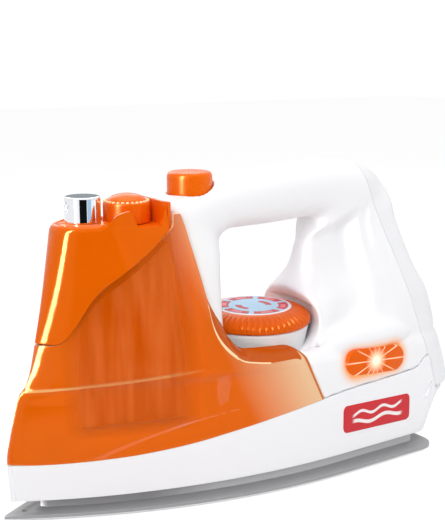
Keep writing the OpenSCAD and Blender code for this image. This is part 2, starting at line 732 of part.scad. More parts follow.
module door_box(gap) {
    translate([place(heel_at(door_z) - heel_corner), -door_w / 2 + gap, door_z + gap])
        cube([2 * heel_corner, door_w - 2 * gap, door_h - 2 * gap]);
}
module rear_skin() {
    difference() {
        intersection() {
            body_solid();
            side_region(cover_outline);
        }
        body_void();
    }
}
slot_l = knob_w + knob_travel + 2 * fit;
module rear_cover() {
    color("whitesmoke")
    difference() {
        union() {
            rear_skin();
            switch_ribs();
        }
        door_box(0);
        translate([place(heel_at(switch_z)) - 3 * heel_corner, -slot_l / 2, switch_z - knob_h / 2 - fit])
            cube([4 * heel_corner, slot_l, knob_h + 2 * fit]);
    }
}
module battery_door() {
    color("whitesmoke")
    difference() {
        intersection() {
            rear_skin();
            door_box(fit);
        }
        translate([place(heel_at(door_z)) - 2 * heel_corner, 0, door_z + door_h - screw_head_r * 1.5])
            rotate([0, 90, 0]) cylinder(h = 3 * heel_corner, r = screw_r + run_fit);
    }
}

// Sheets of the clear shell and the hood
function sheet_point(foot, head, row, inset) =
    let (z = mix(foot[1], head[1], row))
    let (from_nose = mix(foot[0] - nose_at(foot[1]), head[0] - nose_at(head[1]), row))
    let (back = nose_at(z) + from_nose)
    let (step = wall / 4)
    let (slope = (form_w(from_nose + step, z) - form_w(max(0, from_nose - step), z)) / (2 * step))
    let (tilt = norm([slope, 1]))
    let (rolled = roll_share(back, z))
    let (w = form_w(from_nose, z) - roll(back, z))
    from_nose < step
        ? [place(nose_at(z) + inset * (1 + at_height(z, blunt_shares))), 0, z]
        : [place(back + inset * slope / tilt * (1 - rolled)), -(w - inset / tilt * (1 - rolled)),
            z - inset * rolled];
function sheet_grid(foot, head, rows, inset) = [for (row = rows)
    both_sides([for (i = [0:len(foot) - 1]) sheet_point(foot[i], head[i], row, inset)])];

shell_foot = [for (s = shell_foot_shares) [s * total_l, seam_at(s * total_l)]];
shell_head = [for (s = shell_head_shares) [s[0] * total_l, s[1] * body_h]];
module front_shell() {
    color([1, 0.5, 0.1, 0.6])
    sheet(sheet_grid(shell_foot, shell_head, shell_row_shares, 0),
        sheet_grid(shell_foot, shell_head, shell_row_shares, wall));
}

hood_foot = [for (s = hood_foot_shares) [s[0] * total_l, s[1] * body_h + fit]];
hood_head = [for (s = hood_head_shares) [s[0] * total_l, s[1] * body_h]];
hood_end = filler_back + filler_r + fit + back_wall_t;
module hood_plate(low, high, end, inset) {
    nose = nose_at(low);
    near = [for (s = [0:0.1:1])
        let (back = mix(nose + inset, end, pow(s, 1.5)))
        [place(back), s == 0 ? 0 : -(form_w(back - nose, low) - inset)]];
    translate([0, 0, low])
        linear_extrude(high - low)
        polygon(concat([for (i = [len(near) - 1:-1:1]) [near[i][0], -near[i][1]]], near));
}
module hood() {
    color("darkorange")
    difference() {
        union() {
            sheet(sheet_grid(hood_foot, hood_head, hood_row_shares, 0),
                sheet_grid(hood_foot, hood_head, hood_row_shares, wall));
            hood_plate(hood_deck_z - wall, hood_deck_z, hood_end - back_wall_t, wall / 2);
            hood_plate(hood_deck_z - fit, hood_deck_z + platform_h, platform_back, wall / 2);
            translate([place(hood_end - back_wall_t), -width_at(body_h) + wall / 2, hood_deck_z - fit])
                cube([back_wall_t, 2 * width_at(body_h) - wall, back_wall_h]);
        }
        translate([place(nozzle_back), 0, hood_deck_z - 2 * wall])
            cylinder(h = 4 * wall, r = nozzle_r - nozzle_wall - wall + fit);
        translate([place(filler_back), 0, hood_deck_z - 2 * wall]) cylinder(h = 4 * wall, r = neck_r + fit);
    }
}

// Water tank: front and rear half width and front place, at its foot and head
tank_foot_shares = [0.11, 0.173, 0.38, 0.575];
tank_head_shares = [0.132, 0.12, 0.322, 0.3];
tank_flutes = 5;
tank_top = tank_z + tank_h;
function tank_ring(t, inset) =
    let (s = mix(tank_foot_shares, tank_head_shares, t))
    let (z = mix(tank_z + inset, tank_top - inset, t))
    flat_front([for (k = [0:0.04:1])
        let (back = mix(s[0] * total_l + inset, s[2] * total_l - inset, k))
        let (groove = flute_depth * pow(sin(180 * tank_flutes * k), 2))
        [place(back), -(mix(s[1], s[3], k) * half_w - inset - groove), z]]);
neck_top = hood_deck_z + wall;
module water_tank() {
    color([1, 0.55, 0.2, 0.7])
    difference() {
        union() {
            loft([for (t = [0, 0.5, 1]) tank_ring(t, 0)]);
            translate([place(filler_back), 0, tank_top - tank_wall])
                cylinder(h = neck_top - tank_top + tank_wall, r = neck_r);
            translate([place(tank_foot_shares[2] * total_l) - tank_wall, 0, tank_z + stub_r + tank_wall])
                rotate([0, 90, 0]) cylinder(h = 2 * tank_wall + fit, r = stub_r);
        }
        loft([for (t = [0, 0.5, 1]) tank_ring(t, tank_wall)]);
        translate([place(filler_back), 0, tank_top - 2 * tank_wall])
            cylinder(h = neck_top, r = neck_r - neck_wall);
        translate([place(tank_foot_shares[2] * total_l) - 2 * tank_wall, 0, tank_z + stub_r + tank_wall])
            rotate([0, 90, 0]) cylinder(h = 5 * tank_wall, r = tube_r);
    }
}

cap_foot_z = hood_deck_z + fit;
plug_r = neck_r - neck_wall - fit;
module filler_cap() {
    rim_top = cap_foot_z + filler_rim_h;
    groove_top = neck_top + fit + seal_t;
    dome_r = (pow(filler_r - wall, 2) + pow(filler_dome_h, 2)) / (2 * filler_dome_h);
    color("darkorange")
    translate([place(filler_back), 0, 0])
    union() {
        rotate_extrude()
        difference() {
            union() {
                translate([0, cap_foot_z]) square([filler_r, filler_rim_h]);
                polygon(concat([[0, rim_top - cut], [filler_r - wall, rim_top - cut]],
                    [for (k = [0:0.125:1]) let (x = (filler_r - wall) * (1 - k))
                        [x, rim_top + filler_dome_h - dome_r + sqrt(pow(dome_r, 2) - pow(x, 2))]]));
            }
            translate([plug_r, cap_foot_z - cut]) square([filler_r - wall * 0.8 - plug_r, groove_top - cap_foot_z + cut]);
        }
        translate([0, 0, cap_foot_z - plug_h]) cylinder(h = plug_h + wall, r = plug_r);
        for (i = [0:filler_beads - 1])
            rotate([0, 0, i * 360 / filler_beads])
            translate([filler_r - wall / 2, 0, rim_top]) sphere(r = bead_r, $fn = 16);
    }
}
module filler_seal() {
    color("dimgray")
    translate([place(filler_back), 0, neck_top + fit / 2])
    difference() {
        cylinder(h = seal_t, r = neck_r);
        translate([0, 0, -cut]) cylinder(h = seal_t + 2 * cut, r = plug_r + fit / 2);
    }
}

nozzle_z = hood_deck_z + platform_h;
jet_z = nozzle_z + nozzle_h * 0.62;
module nozzle_cap() {
    color("lightgray")
    translate([place(nozzle_back), 0, nozzle_z])
    difference() {
        cylinder(h = nozzle_h, r = nozzle_r);
        translate([0, 0, -cut]) cylinder(h = nozzle_h - nozzle_wall + cut, r = nozzle_r - nozzle_wall);
        translate([-2 * nozzle_r, 0, jet_z - nozzle_z]) rotate([0, 90, 0]) cylinder(h = 2 * nozzle_r, r = spray_r);
    }
}
module nozzle_insert() {
    insert_r = nozzle_r - nozzle_wall - run_fit;
    color("white")
    translate([place(nozzle_back), 0, 0])
    difference() {
        union() {
            translate([0, 0, nozzle_z]) cylinder(h = nozzle_h - nozzle_wall - run_fit, r = insert_r);
            translate([0, 0, hood_deck_z - wall]) cylinder(h = platform_h + 2 * wall, r = insert_r - wall);
        }
        translate([0, 0, hood_deck_z - 2 * wall]) cylinder(h = jet_z - hood_deck_z + 2 * wall, r = tube_r + run_fit);
        translate([-nozzle_r, 0, jet_z]) rotate([0, 90, 0]) cylinder(h = nozzle_r, r = jet_r);
    }
}

// Button, pump and spring, all on one axis
button_z = button_top_z - button_h;
button_ceiling = button_top_z - button_wall;
module pump_button() {
    inner_r = button_r - button_wall;
    edge = [for (a = [0:15:90])
        [button_r - button_edge * (1 - cos(a)), button_top_z - button_edge * (1 - sin(a))]];
    color("darkorange")
    translate([place(pump_back), 0, 0])
    rotate_extrude()
    polygon(concat([[inner_r, button_z], [button_r, button_z]], edge,
        [[0, button_top_z], [0, button_ceiling], [inner_r, button_ceiling]]));
}
module pump_barrel() {
    color("white")
    translate([place(pump_back), 0, barrel_z])
    difference() {
        union() {
            cylinder(h = barrel_h, r = barrel_r);
            translate([0, 0, flange_up]) cylinder(h = guide_t, r = guide_r);
        }
        translate([0, 0, barrel_wall]) cylinder(h = barrel_h - 2 * barrel_wall, r = barrel_r - barrel_wall);
        translate([0, 0, barrel_h - 2 * barrel_wall]) cylinder(h = 3 * barrel_wall, r = rod_r + run_fit);
        translate([0, 0, -cut]) cylinder(h = 3 * barrel_wall + cut, r = tube_r - tube_wall);
        translate([0, 0, port_up]) rotate([-90, 0, 0]) cylinder(h = 2 * barrel_r, r = tube_r - tube_wall);
    }
}
port_up = flange_up + guide_t + 2 * tube_r;
piston_z = barrel_z + barrel_h - 2 * barrel_wall - 2 * piston_h;
module pump_piston() {
    color("white")
    translate([place(pump_back), 0, 0])
    difference() {
        union() {
            translate([0, 0, piston_z]) cylinder(h = button_ceiling - piston_z, r = rod_r);
            translate([0, 0, piston_z]) cylinder(h = piston_h, r = piston_r);
        }
        translate([0, 0, piston_z + piston_h / 2 - seal_t / 2])
        difference() {
            cylinder(h = seal_t, r = 2 * piston_r);
            translate([0, 0, -cut]) cylinder(h = seal_t + 2 * cut, r = piston_r - seal_t / 2);
        }
    }
}
module piston_seal() {
    inner_r = piston_r - seal_t / 2 + run_fit / 2;
    outer_r = barrel_r - barrel_wall - run_fit / 2;
    color("dimgray")
    translate([place(pump_back), 0, piston_z + piston_h / 2])
    rotate_extrude()
    translate([(inner_r + outer_r) / 2, 0])
    square([outer_r - inner_r, seal_t - run_fit], center = true);
}

// Return spring, one unbroken wire from the barrel up to the button
coil_rings = 8;
coil_sides = 6;
spring_low = barrel_z + barrel_h + spring_wire_r + run_fit;
spring_high = button_ceiling - spring_wire_r - run_fit;
function coil_centre(t) = [spring_r * cos(360 * t), spring_r * sin(360 * t),
    mix(spring_low, spring_high, t / spring_turns)];
coil_points = [for (i = [0:coil_rings * spring_turns]) let (t = i / coil_rings)
    [for (k = [coil_sides - 1:-1:0]) let (a = 360 * k / coil_sides)
        coil_centre(t) + spring_wire_r * [cos(a) * cos(360 * t), cos(a) * sin(360 * t), sin(a)]]];
coil_gap = (spring_high - spring_low) / spring_turns - 2 * spring_wire_r;
echo(least_gap_between_turns = coil_gap);
module return_spring() {
    color("silver")
    translate([place(pump_back), 0, 0])
    loft(coil_points, mirrored = false);
}

// A pipe through corner points, each run along one axis
module pipe(points, r) {
    for (i = [0:len(points) - 2]) {
        run = points[i + 1] - points[i];
        translate(points[i])
            rotate([0, acos(run[2] / norm(run)), atan2(run[1], run[0])])
            cylinder(h = norm(run), r = r, $fn = 24);
    }
    for (i = [1:1:len(points) - 2])
        translate(points[i]) sphere(r = r, $fn = 24);
}
module supply_tube() {
    foot = tank_z + stub_r + tank_wall;
    color("white", 0.8)
    pipe([[place(tank_foot_shares[2] * total_l) + tank_wall + fit, 0, foot], [place(pump_back), 0, foot],
        [place(pump_back), 0, barrel_z]], tube_r);
}
module spray_tube() {
    port = barrel_z + port_up;
    color("white", 0.8)
    pipe([[place(pump_back), barrel_r, port], [place(pump_back), tube_side, port],
        [place(pump_back), tube_side, spray_z], [place(nozzle_back), tube_side, spray_z],
        [place(nozzle_back), 0, spray_z], [place(nozzle_back), 0, hood_deck_z]], tube_r);
}

// Dial and its seat
module steam_dial() {
    rib = 360 / dial_ribs;
    outline = [for (i = [0:dial_ribs - 1]) each [
        [dial_r * cos(i * rib), dial_r * sin(i * rib)],
        [dial_r * cos((i + 0.55) * rib), dial_r * sin((i + 0.55) * rib)],
        [(dial_r - rib_depth) * cos((i + 0.7) * rib), (dial_r - rib_depth) * sin((i + 0.7) * rib)],
        [(dial_r - rib_depth) * cos((i + 0.85) * rib), (dial_r - rib_depth) * sin((i + 0.85) * rib)]]];
    color("darkorange")
    translate([place(dial_back), 0, 0])
    difference() {
        union() {
            translate([0, 0, dial_z]) linear_extrude(dial_t) polygon(outline);
            translate([0, 0, dial_z + dial_t])
                cylinder(h = shoulder_h, r1 = dial_r - 2 * rib_depth, r2 = label_r + wall);
            translate([0, 0, dial_z - stem_l]) cylinder(h = stem_l + wall, r = stem_r);
        }
        translate([0, 0, dial_z - stem_l + clip_t])
        difference() {
            cylinder(h = clip_t + 2 * run_fit, r = 2 * stem_r);
            translate([0, 0, -cut]) cylinder(h = clip_t + 2 * cut, r = stem_r - wall / 3);
        }
    }
}
module dial_label() {
    color("lightblue")
    translate([place(dial_back), 0, dial_z + dial_t + shoulder_h])
    cylinder(h = label_t, r = label_r);
}
core_top = core_level_shares[7] * body_h;
deck_top = deck_level_shares[7][0] * body_h;
seat_z = core_top + fit;
clip_z = dial_z - stem_l + clip_t + run_fit;
seat_step_back = tail_at(rim_at(dial_back)) + core_over + fit;
module dial_seat() {
    color("gainsboro")
    translate([place(dial_back), 0, 0])
    difference() {
        union() {
            translate([0, 0, seat_z]) cylinder(h = dial_z - fit - seat_z, r = seat_r);
            difference() {
                translate([0, 0, deck_top + fit]) cylinder(h = seat_z - deck_top, r = seat_r);
                translate([-2 * seat_r, -2 * seat_r, 0])
                    cube([2 * seat_r + seat_step_back - dial_back, 4 * seat_r, dial_z]);
            }
            translate([0, 0, clip_z + clip_t + run_fit]) cylinder(h = seat_z - clip_z - clip_t, r = hub_r);
        }
        translate([0, 0, board_z]) cylinder(h = body_h, r = stem_r + run_fit);
    }
}
module dial_clip() {
    color("dimgray")
    translate([place(dial_back), 0, clip_z])
    difference() {
        cylinder(h = clip_t, r = clip_r);
        translate([0, 0, -cut]) cylinder(h = clip_t + 2 * cut, r = stem_r - wall / 3 + run_fit / 2);
    }
}

// Lamps: a lens in each side and a bulb on the board behind it
module lamp_lens(side) {
    color("orange")
    difference() {
        at_lamp(side)
            translate([0, side * (lamp_proud - wall) / 2, 0])
            pill(lamp_l, lamp_h, lamp_proud + wall);
    }
}
module lamp_bulb(side) {
    tip = lamp_side - wall - 2 * fit;
    inner = board_w / 2 - wall;
    color("white")
    translate([place(lamp_back), 0, 0]) {
        translate([-bulb_r, side < 0 ? -inner - wall : inner, board_z + board_t])
            cube([2 * bulb_r, wall, lamp_z + bulb_r - board_z - board_t]);
        translate([0, side * inner, lamp_z])
            rotate([-side * 90, 0, 0]) cylinder(h = tip - bulb_r - inner, r = bulb_r);
        translate([0, side * (tip - bulb_r), lamp_z]) sphere(r = bulb_r);
    }
}

module circuit_board() {
    color("green")
    difference() {
        translate([place(board_back) - board_l / 2, -board_w / 2, board_z]) cube([board_l, board_w, board_t]);
        at_board_posts() cylinder(h = body_h, r = screw_r / 2);
    }
}
module speaker() {
    color("black")
    translate([place(speaker_back), 0, floor_z]) {
        cylinder(h = speaker_h / 3, r = speaker_r);
        cylinder(h = speaker_h * 0.6, r = speaker_r * 0.8);
        cylinder(h = speaker_h, r = speaker_r / 2);
    }
}

// Battery case with two cells across the iron, behind the door
cell_r = cell_d / 2;
cell_gap = run_fit;
bay_l = cell_l + 2 * wall / 3;
bay_h = 2 * cell_d + 4 * cell_gap;
bay_z = door_z + cell_gap + screw_r;
case_back = heel_at(bay_z + bay_h) - wall - 2 * fit - 4 * case_wall;
cell_back = case_back - cell_r - fit;
case_front = cell_back - cell_r - cell_gap - case_wall;
screw_z = door_z + door_h - screw_head_r * 1.5;
module battery_case() {
    color("dimgray")
    difference() {
        union() {
            translate([place(case_front), -bay_l / 2 - case_wall, bay_z - case_wall])
                cube([case_back - case_front, bay_l + 2 * case_wall, bay_h + 2 * case_wall]);
            for (side = [-1, 1])
                translate([place(cell_back) - cell_r, side * cell_l / 3 - case_wall, floor_z])
                cube([cell_r, 2 * case_wall, bay_z - floor_z]);
        }
        translate([place(case_front) + case_wall, -bay_l / 2, bay_z])
            cube([case_back, bay_l, bay_h]);
    }
}
module battery_cells() {
    color("gold")
    for (i = [0, 1])
        translate([place(cell_back), 0, bay_z + cell_gap + cell_r + i * (cell_d + 2 * cell_gap)])
        rotate([90, 0, 0]) {
            cylinder(h = cell_l - wall / 2, r = cell_r, center = true);
            cylinder(h = cell_l, r = cell_r / 3, center = true);
        }
}
module battery_contacts() {
    color("silver")
    for (side = [-1, 1])
        translate([place(cell_back), side * (bay_l / 2 - wall / 8), bay_z + bay_h / 2])
        cube([cell_d - 2 * wall, wall / 4, bay_h - 2 * wall], center = true);
}
module door_screw() {
    head_face = total_l * lookup(screw_z / body_h, rear_points);
    color("silver")
    translate([place(head_face) + 2 * fit, 0, screw_z])
    rotate([0, 90, 0]) {
        cylinder(h = screw_head_h, r = screw_head_r);
        translate([0, 0, -wall - 2 * fit]) cylinder(h = wall + 2 * fit, r = screw_r);
    }
}

// Slide switch in the rear cover, which is widest at its inner plate
rear_points = [for (i = [len(loop_shares) - 1:-1:13]) [loop_shares[i][3], loop_shares[i][2]]];
switch_back = total_l * lookup(switch_z / body_h, rear_points);
plate_back = switch_back - 3 * wall;
switch_w = 2 * knob_w + knob_travel;
module power_switch() {
    color("dimgray")
    translate([place(plate_back), -knob_travel / 2, switch_z]) {
        translate([0, -knob_w / 2, -knob_h / 2]) cube([4 * wall, knob_w, knob_h]);
        translate([0, -knob_w, -knob_h]) cube([wall / 2, 2 * knob_w, 2 * knob_h]);
    }
}
module switch_body() {
    color("black")
    translate([place(plate_back - run_fit) - 3 * wall, -switch_w / 2, switch_z - 2 * knob_h])
    cube([3 * wall, switch_w, 4 * knob_h]);
}
// Ribs of the rear cover that hold the switch
module switch_ribs() {
    intersection() {
        body_solid();
        for (side = [-1, 1])
            translate([place(plate_back) - 3 * wall, side * (switch_w / 2 + wall / 2 + fit / 2) - wall / 2,
                switch_z - 2 * knob_h])
            cube([6 * wall, wall, 4 * knob_h]);
    }
}

// Printed label on the left side of the base
badge_low = form_w(badge_back - nose_at(badge_z), badge_z - badge_h / 2);
badge_high = form_w(badge_back - nose_at(badge_z), badge_z + badge_h / 2);
module side_label() {
    corner = badge_h / 5;
    color("red")
    translate([place(badge_back), -(badge_low + badge_high) / 2 - badge_t, badge_z])
    rotate([-atan((badge_low - badge_high) / badge_h), 0, 0])
    rotate([90, badge_tilt, 0])
    linear_extrude(badge_t)
    polygon([for (q = [[1, 1, 0], [-1, 1, 90], [-1, -1, 180], [1, -1, 270]], a = [0:15:90])
        [q[0] * (badge_l / 2 - corner) + corner * cos(a + q[2]),
            q[1] * (badge_h / 2 - corner) + corner * sin(a + q[2])]]);
}

module sole_screws() {
    color("gray")
    at_sole_screws() {
        translate([0, 0, lip_t]) cylinder(h = screw_head_h, r = screw_head_r);
        translate([0, 0, lip_t]) cylinder(h = sole_screw_l, r = screw_r);
    }
}
module body_screws() {
    color("gray")
    for (p = joint_shares) {
        side = p[2] * half_w - joint_pocket;
        translate([place(p[0] * total_l), side, p[1] * body_h]) {
            rotate([-90, 0, 0]) cylinder(h = screw_head_h, r = screw_head_r);
            rotate([90, 0, 0]) cylinder(h = 2 * side - joint_pocket / 2, r = screw_r);
        }
    }
}

sole_plate();
base_housing();
body_left();
body_right();
rear_cover();
front_shell();
hood();
water_tank();
filler_cap();
filler_seal();
nozzle_cap();
nozzle_insert();
pump_button();
pump_barrel();
pump_piston();
piston_seal();
return_spring();
supply_tube();
spray_tube();
steam_dial();
dial_label();
dial_seat();
dial_clip();
lamp_lens(-1);  // lamp_lens_left
lamp_lens(1);  // lamp_lens_right
lamp_bulb(-1);  // lamp_bulb_left
lamp_bulb(1);  // lamp_bulb_right
circuit_board();
speaker();
battery_case();
battery_cells();
battery_contacts();
battery_door();
door_screw();
power_switch();
switch_body();
side_label();
sole_screws();
body_screws();
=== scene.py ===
# %% [markdown]
# # A toy steam iron
# The frame holds every part of the iron at its real size. This lesson gives the parts that show
# their final form and finish, and leaves the hidden parts as they are, with a material each.
# The box of the frame is kept first, because the finished iron has to fit it.

# %% Load the frame
import math
import bpy
import numpy as np
from mathutils import Matrix, Vector


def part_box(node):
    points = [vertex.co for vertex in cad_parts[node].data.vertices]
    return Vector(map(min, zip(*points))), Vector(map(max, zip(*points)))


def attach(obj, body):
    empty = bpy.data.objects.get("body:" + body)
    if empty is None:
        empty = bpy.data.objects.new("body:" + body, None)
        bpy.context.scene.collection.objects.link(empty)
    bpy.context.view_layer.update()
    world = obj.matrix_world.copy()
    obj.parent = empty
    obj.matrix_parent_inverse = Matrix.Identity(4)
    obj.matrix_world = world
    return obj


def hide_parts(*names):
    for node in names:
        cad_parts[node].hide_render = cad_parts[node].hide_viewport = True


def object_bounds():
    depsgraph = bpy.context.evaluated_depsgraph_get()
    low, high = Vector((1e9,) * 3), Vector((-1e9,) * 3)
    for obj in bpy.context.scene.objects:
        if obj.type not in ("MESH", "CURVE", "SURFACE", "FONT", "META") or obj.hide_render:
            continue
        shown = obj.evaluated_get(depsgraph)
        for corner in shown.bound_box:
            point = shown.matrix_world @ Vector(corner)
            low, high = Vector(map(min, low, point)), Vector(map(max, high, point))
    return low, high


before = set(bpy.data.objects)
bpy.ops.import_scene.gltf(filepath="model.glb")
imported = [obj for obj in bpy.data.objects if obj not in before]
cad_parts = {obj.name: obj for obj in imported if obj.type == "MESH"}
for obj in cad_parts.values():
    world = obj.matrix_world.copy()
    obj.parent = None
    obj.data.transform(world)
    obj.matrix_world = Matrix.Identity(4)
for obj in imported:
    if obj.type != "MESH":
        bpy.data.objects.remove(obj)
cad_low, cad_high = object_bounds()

mm = 0.001
print("nodes in the frame:", len(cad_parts))

# %% [markdown]
# ## Camera
# The photograph looks down a little on the nose of the iron from its left side. A camera is
# placed by its direction and turned with one quaternion, so that it has no roll. A long lens
# keeps the sides of the iron nearly parallel, as in the photograph.

# %% Place the camera
camera_turn, camera_pitch = math.radians(-34), math.radians(12)
camera_data = bpy.data.cameras.new("photo_view")
camera_data.lens = 69.23
camera_data.sensor_width = 36
camera_data.clip_start = 0.01
camera = bpy.data.objects.new("photo_view", camera_data)
bpy.context.scene.collection.objects.link(camera)
towards = Vector((math.sin(camera_turn) * math.cos(camera_pitch),
                  -math.cos(camera_turn) * math.cos(camera_pitch), math.sin(camera_pitch)))
camera.location = (-0.2826, -0.4125, 0.216)
camera.rotation_mode = "QUATERNION"
camera.rotation_quaternion = (-towards).to_track_quat("-Z", "Y")
bpy.context.scene.camera = camera
bpy.context.scene.view_settings.view_transform = "Standard"
print("camera stands", round(camera.location.length, 3), "m from the origin")

# %% [markdown]
# ## Node helpers
# A material is a tree of small nodes. Written out, each node takes a few lines, so a handful of
# helpers add a node and set or link its inputs at once. Everything below is built with them.

# %% Write the node helpers
def feed(tree, value, socket):
    """Sets an input, or links it where the value is another node's output."""
    if isinstance(value, bpy.types.NodeSocket):
        tree.links.new(value, socket)
    else:
        socket.default_value = value


def add_node(tree, kind, **inputs):
    """Adds a node and feeds its inputs. In their names an underscore stands for a space."""
    node = tree.nodes.new(kind)
    for name, value in inputs.items():
        feed(tree, value, node.inputs[name.replace("_", " ")])
    return node


def calc(tree, operation, *values, clamp=False):
    """The result of one sum, from a Math node."""
    node = tree.nodes.new("ShaderNodeMath")
    node.operation = operation
    node.use_clamp = clamp
    for socket, value in zip(node.inputs, values):
        feed(tree, value, socket)
    return node.outputs[0]


def remap(tree, value, low, high, to_low=0.0, to_high=1.0):
    """One range of values turned into another, and held at its ends."""
    node = add_node(tree, "ShaderNodeMapRange", Value=value, From_Min=low, From_Max=high,
                    To_Min=to_low, To_Max=to_high)
    return node.outputs["Result"]


def band(tree, value, low, high, soft):
    """A mask that is 1 between two values, with a soft edge on each side."""
    return calc(tree, "MULTIPLY", remap(tree, value, low, low + soft), remap(tree, value, high, high - soft))


def length(tree, a, b):
    """The distance that two sides at right angles give."""
    squares = [calc(tree, "MULTIPLY", side, side) for side in (a, b)]
    return calc(tree, "SQRT", calc(tree, "ADD", *squares))


def blend(tree, below, above, mask):
    """One colour laid over another through a mask."""
    node = tree.nodes.new("ShaderNodeMix")
    node.data_type = "RGBA"
    for name, value in (("A", below), ("B", above), ("Factor", mask)):
        feed(tree, value, node.inputs[name])
    return node.outputs["Result"]


def object_place(tree):
    return tree.nodes.new("ShaderNodeTexCoord").outputs["Object"]


def axes_of(tree):
    """The Object coordinates, as X, Y and Z."""
    return add_node(tree, "ShaderNodeSeparateXYZ", Vector=object_place(tree)).outputs


def noise(tree, vector, scale, detail):
    node = add_node(tree, "ShaderNodeTexNoise", Vector=vector, Scale=scale, Detail=detail)
    return node.outputs["Fac"]


def new_group(name, outputs, inputs=()):
    """A node group with its sockets, and the node that its results go to."""
    group = bpy.data.node_groups.new(name, "ShaderNodeTree")
    for title, value in inputs:
        kind = "NodeSocketColor" if title == "Colour" else "NodeSocketFloat"
        group.interface.new_socket(title, in_out="INPUT", socket_type=kind).default_value = value
    for title in outputs:
        kind = "NodeSocketColor" if title == "Colour" else "NodeSocketFloat"
        group.interface.new_socket(title, in_out="OUTPUT", socket_type=kind)
    return group, group.nodes.new("NodeGroupOutput")


def use_group(tree, group):
    node = tree.nodes.new("ShaderNodeGroup")
    node.node_tree = group
    return node


def linear(red, green, blue):
    """A colour as seen on a screen, 0 to 255, in the values that a shader takes."""
    def one(c):
        c = c / 255
        return c / 12.92 if c <= 0.04045 else ((c + 0.055) / 1.055) ** 2.4
    return (one(red), one(green), one(blue), 1)


print("mid grey is", round(linear(128, 128, 128)[0], 3), "to a shader")

# %% [markdown]
# ## Floor and light
# A product photograph is lit by large soft boxes in a white room. The floor is a plain pale
# sheet. Its material shows a white floor to the camera and to reflections, while a share of it
# still catches the soft shadow of the iron. The lamps stay at a plain level.

# %% Make the floor
def show_white(tree, lit, white, share, out_kind):
    """Shows white to the camera, to gloss and to glass, and lights the iron with the other shader."""
    path = tree.nodes.new("ShaderNodeLightPath").outputs
    seen = calc(tree, "MAXIMUM", path["Is Camera Ray"], path["Is Glossy Ray"])
    seen = calc(tree, "MAXIMUM", seen, path["Is Transmission Ray"])
    mixed = add_node(tree, "ShaderNodeMixShader", Fac=calc(tree, "MULTIPLY", seen, share))
    tree.links.new(lit.outputs[0], mixed.inputs[1])
    tree.links.new(white.outputs[0], mixed.inputs[2])
    tree.links.new(mixed.outputs[0], tree.nodes.new(out_kind).inputs["Surface"])


def bare_tree(owner):
    owner.use_nodes = True
    owner.node_tree.nodes.clear()
    return owner.node_tree


pale_floor = bpy.data.materials.new("pale_floor")
floor_tree = bare_tree(pale_floor)
paper = add_node(floor_tree, "ShaderNodeBsdfDiffuse", Color=(0.84, 0.84, 0.84, 1))
floor_white = add_node(floor_tree, "ShaderNodeEmission", Color=(1, 1, 1, 1), Strength=1.12)
show_white(floor_tree, paper, floor_white, 0.8, "ShaderNodeOutputMaterial")
floor_size, floor_gap = 6.0, 0.1 * mm
bpy.ops.object.select_all(action="DESELECT")
bpy.ops.mesh.primitive_plane_add(size=floor_size, location=(0, 0, cad_low.z - floor_gap))
floor = bpy.context.object
floor.name = "floor"
floor.data.materials.append(pale_floor)
print("floor at", round(floor.location.z, 4))


# %% Light the room
def face_point(thing, place, aim, axis):
    """Puts an object in its place and turns one of its axes towards a point."""
    thing.location = place
    thing.rotation_mode = "QUATERNION"
    thing.rotation_quaternion = (Vector(aim) - Vector(place)).to_track_quat(axis, "Y")


def soft_box(name, place, aim, wide, high, power, mirrored=True):
    """A rectangular lamp that looks at one point."""
    lamp = bpy.data.lights.new(name, "AREA")
    lamp.shape = "RECTANGLE"
    lamp.size = wide
    lamp.size_y = high
    lamp.energy = power
    stand = bpy.data.objects.new(name, lamp)
    bpy.context.scene.collection.objects.link(stand)
    face_point(stand, place, aim, "-Z")
    stand.visible_glossy = mirrored
    return stand


middle = (0, 0, 0.07)
soft_box("key_box", (-0.75, -0.75, 0.85), middle, 0.5, 0.9, 6.6, mirrored=False)
soft_box("side_box", (0.75, -0.7, 0.45), middle, 0.4, 0.8, 1.8, mirrored=False)
soft_box("top_box", (0.1, 0.15, 1.1), middle, 0.9, 0.7, 4.6)
soft_box("back_box", (0.3, 0.9, 0.6), middle, 0.7, 0.5, 2.2)
streak_box = soft_box("streak_box", (-0.93, -0.3, 0.5), (0, 0, 0.3), 0.2, 1.1, 70.0)
streak_box.visible_diffuse = False

room_level = 0.58
room = bpy.data.worlds.new("white_room")
bpy.context.scene.world = room
room_tree = bare_tree(room)
lit_room = add_node(room_tree, "ShaderNodeBackground", Strength=room_level)
white_room = add_node(room_tree, "ShaderNodeBackground", Color=(1, 1, 1, 1), Strength=1.0)
show_white(room_tree, lit_room, white_room, 1.0, "ShaderNodeOutputWorld")
print("lamps:", len(bpy.data.lights), "room level", room_level)

# %% [markdown]
# Chrome shows nothing but its surroundings. In a white room it would vanish, so a dark card, a
# pale blue one and a grey one stand where it mirrors them. Only reflections see the cards.

# %% Stand up the cards
nozzle_x = -0.082


def card(name, turn, reach, high, wide, tall, colour):
    """A glowing card round the nozzle, turned to the right of the camera's direction."""
    way = math.radians(turn - 90) + camera_turn
    place = (nozzle_x + reach * math.cos(way), reach * math.sin(way), high)
    bpy.ops.object.select_all(action="DESELECT")
    bpy.ops.mesh.primitive_plane_add(size=1)
    made = bpy.context.object
    made.name = name
    made.scale = (wide, tall, 1)
    face_point(made, place, (-0.08, 0, high), "Z")
    look = bpy.data.materials.new(name)
    tree = bare_tree(look)
    glow = add_node(tree, "ShaderNodeEmission", Color=colour)
    tree.links.new(glow.outputs[0], tree.nodes.new("ShaderNodeOutputMaterial").inputs["Surface"])
    made.data.materials.append(look)
    made.visible_camera = False
    made.visible_diffuse = False
    made.visible_transmission = False
    made.visible_shadow = False


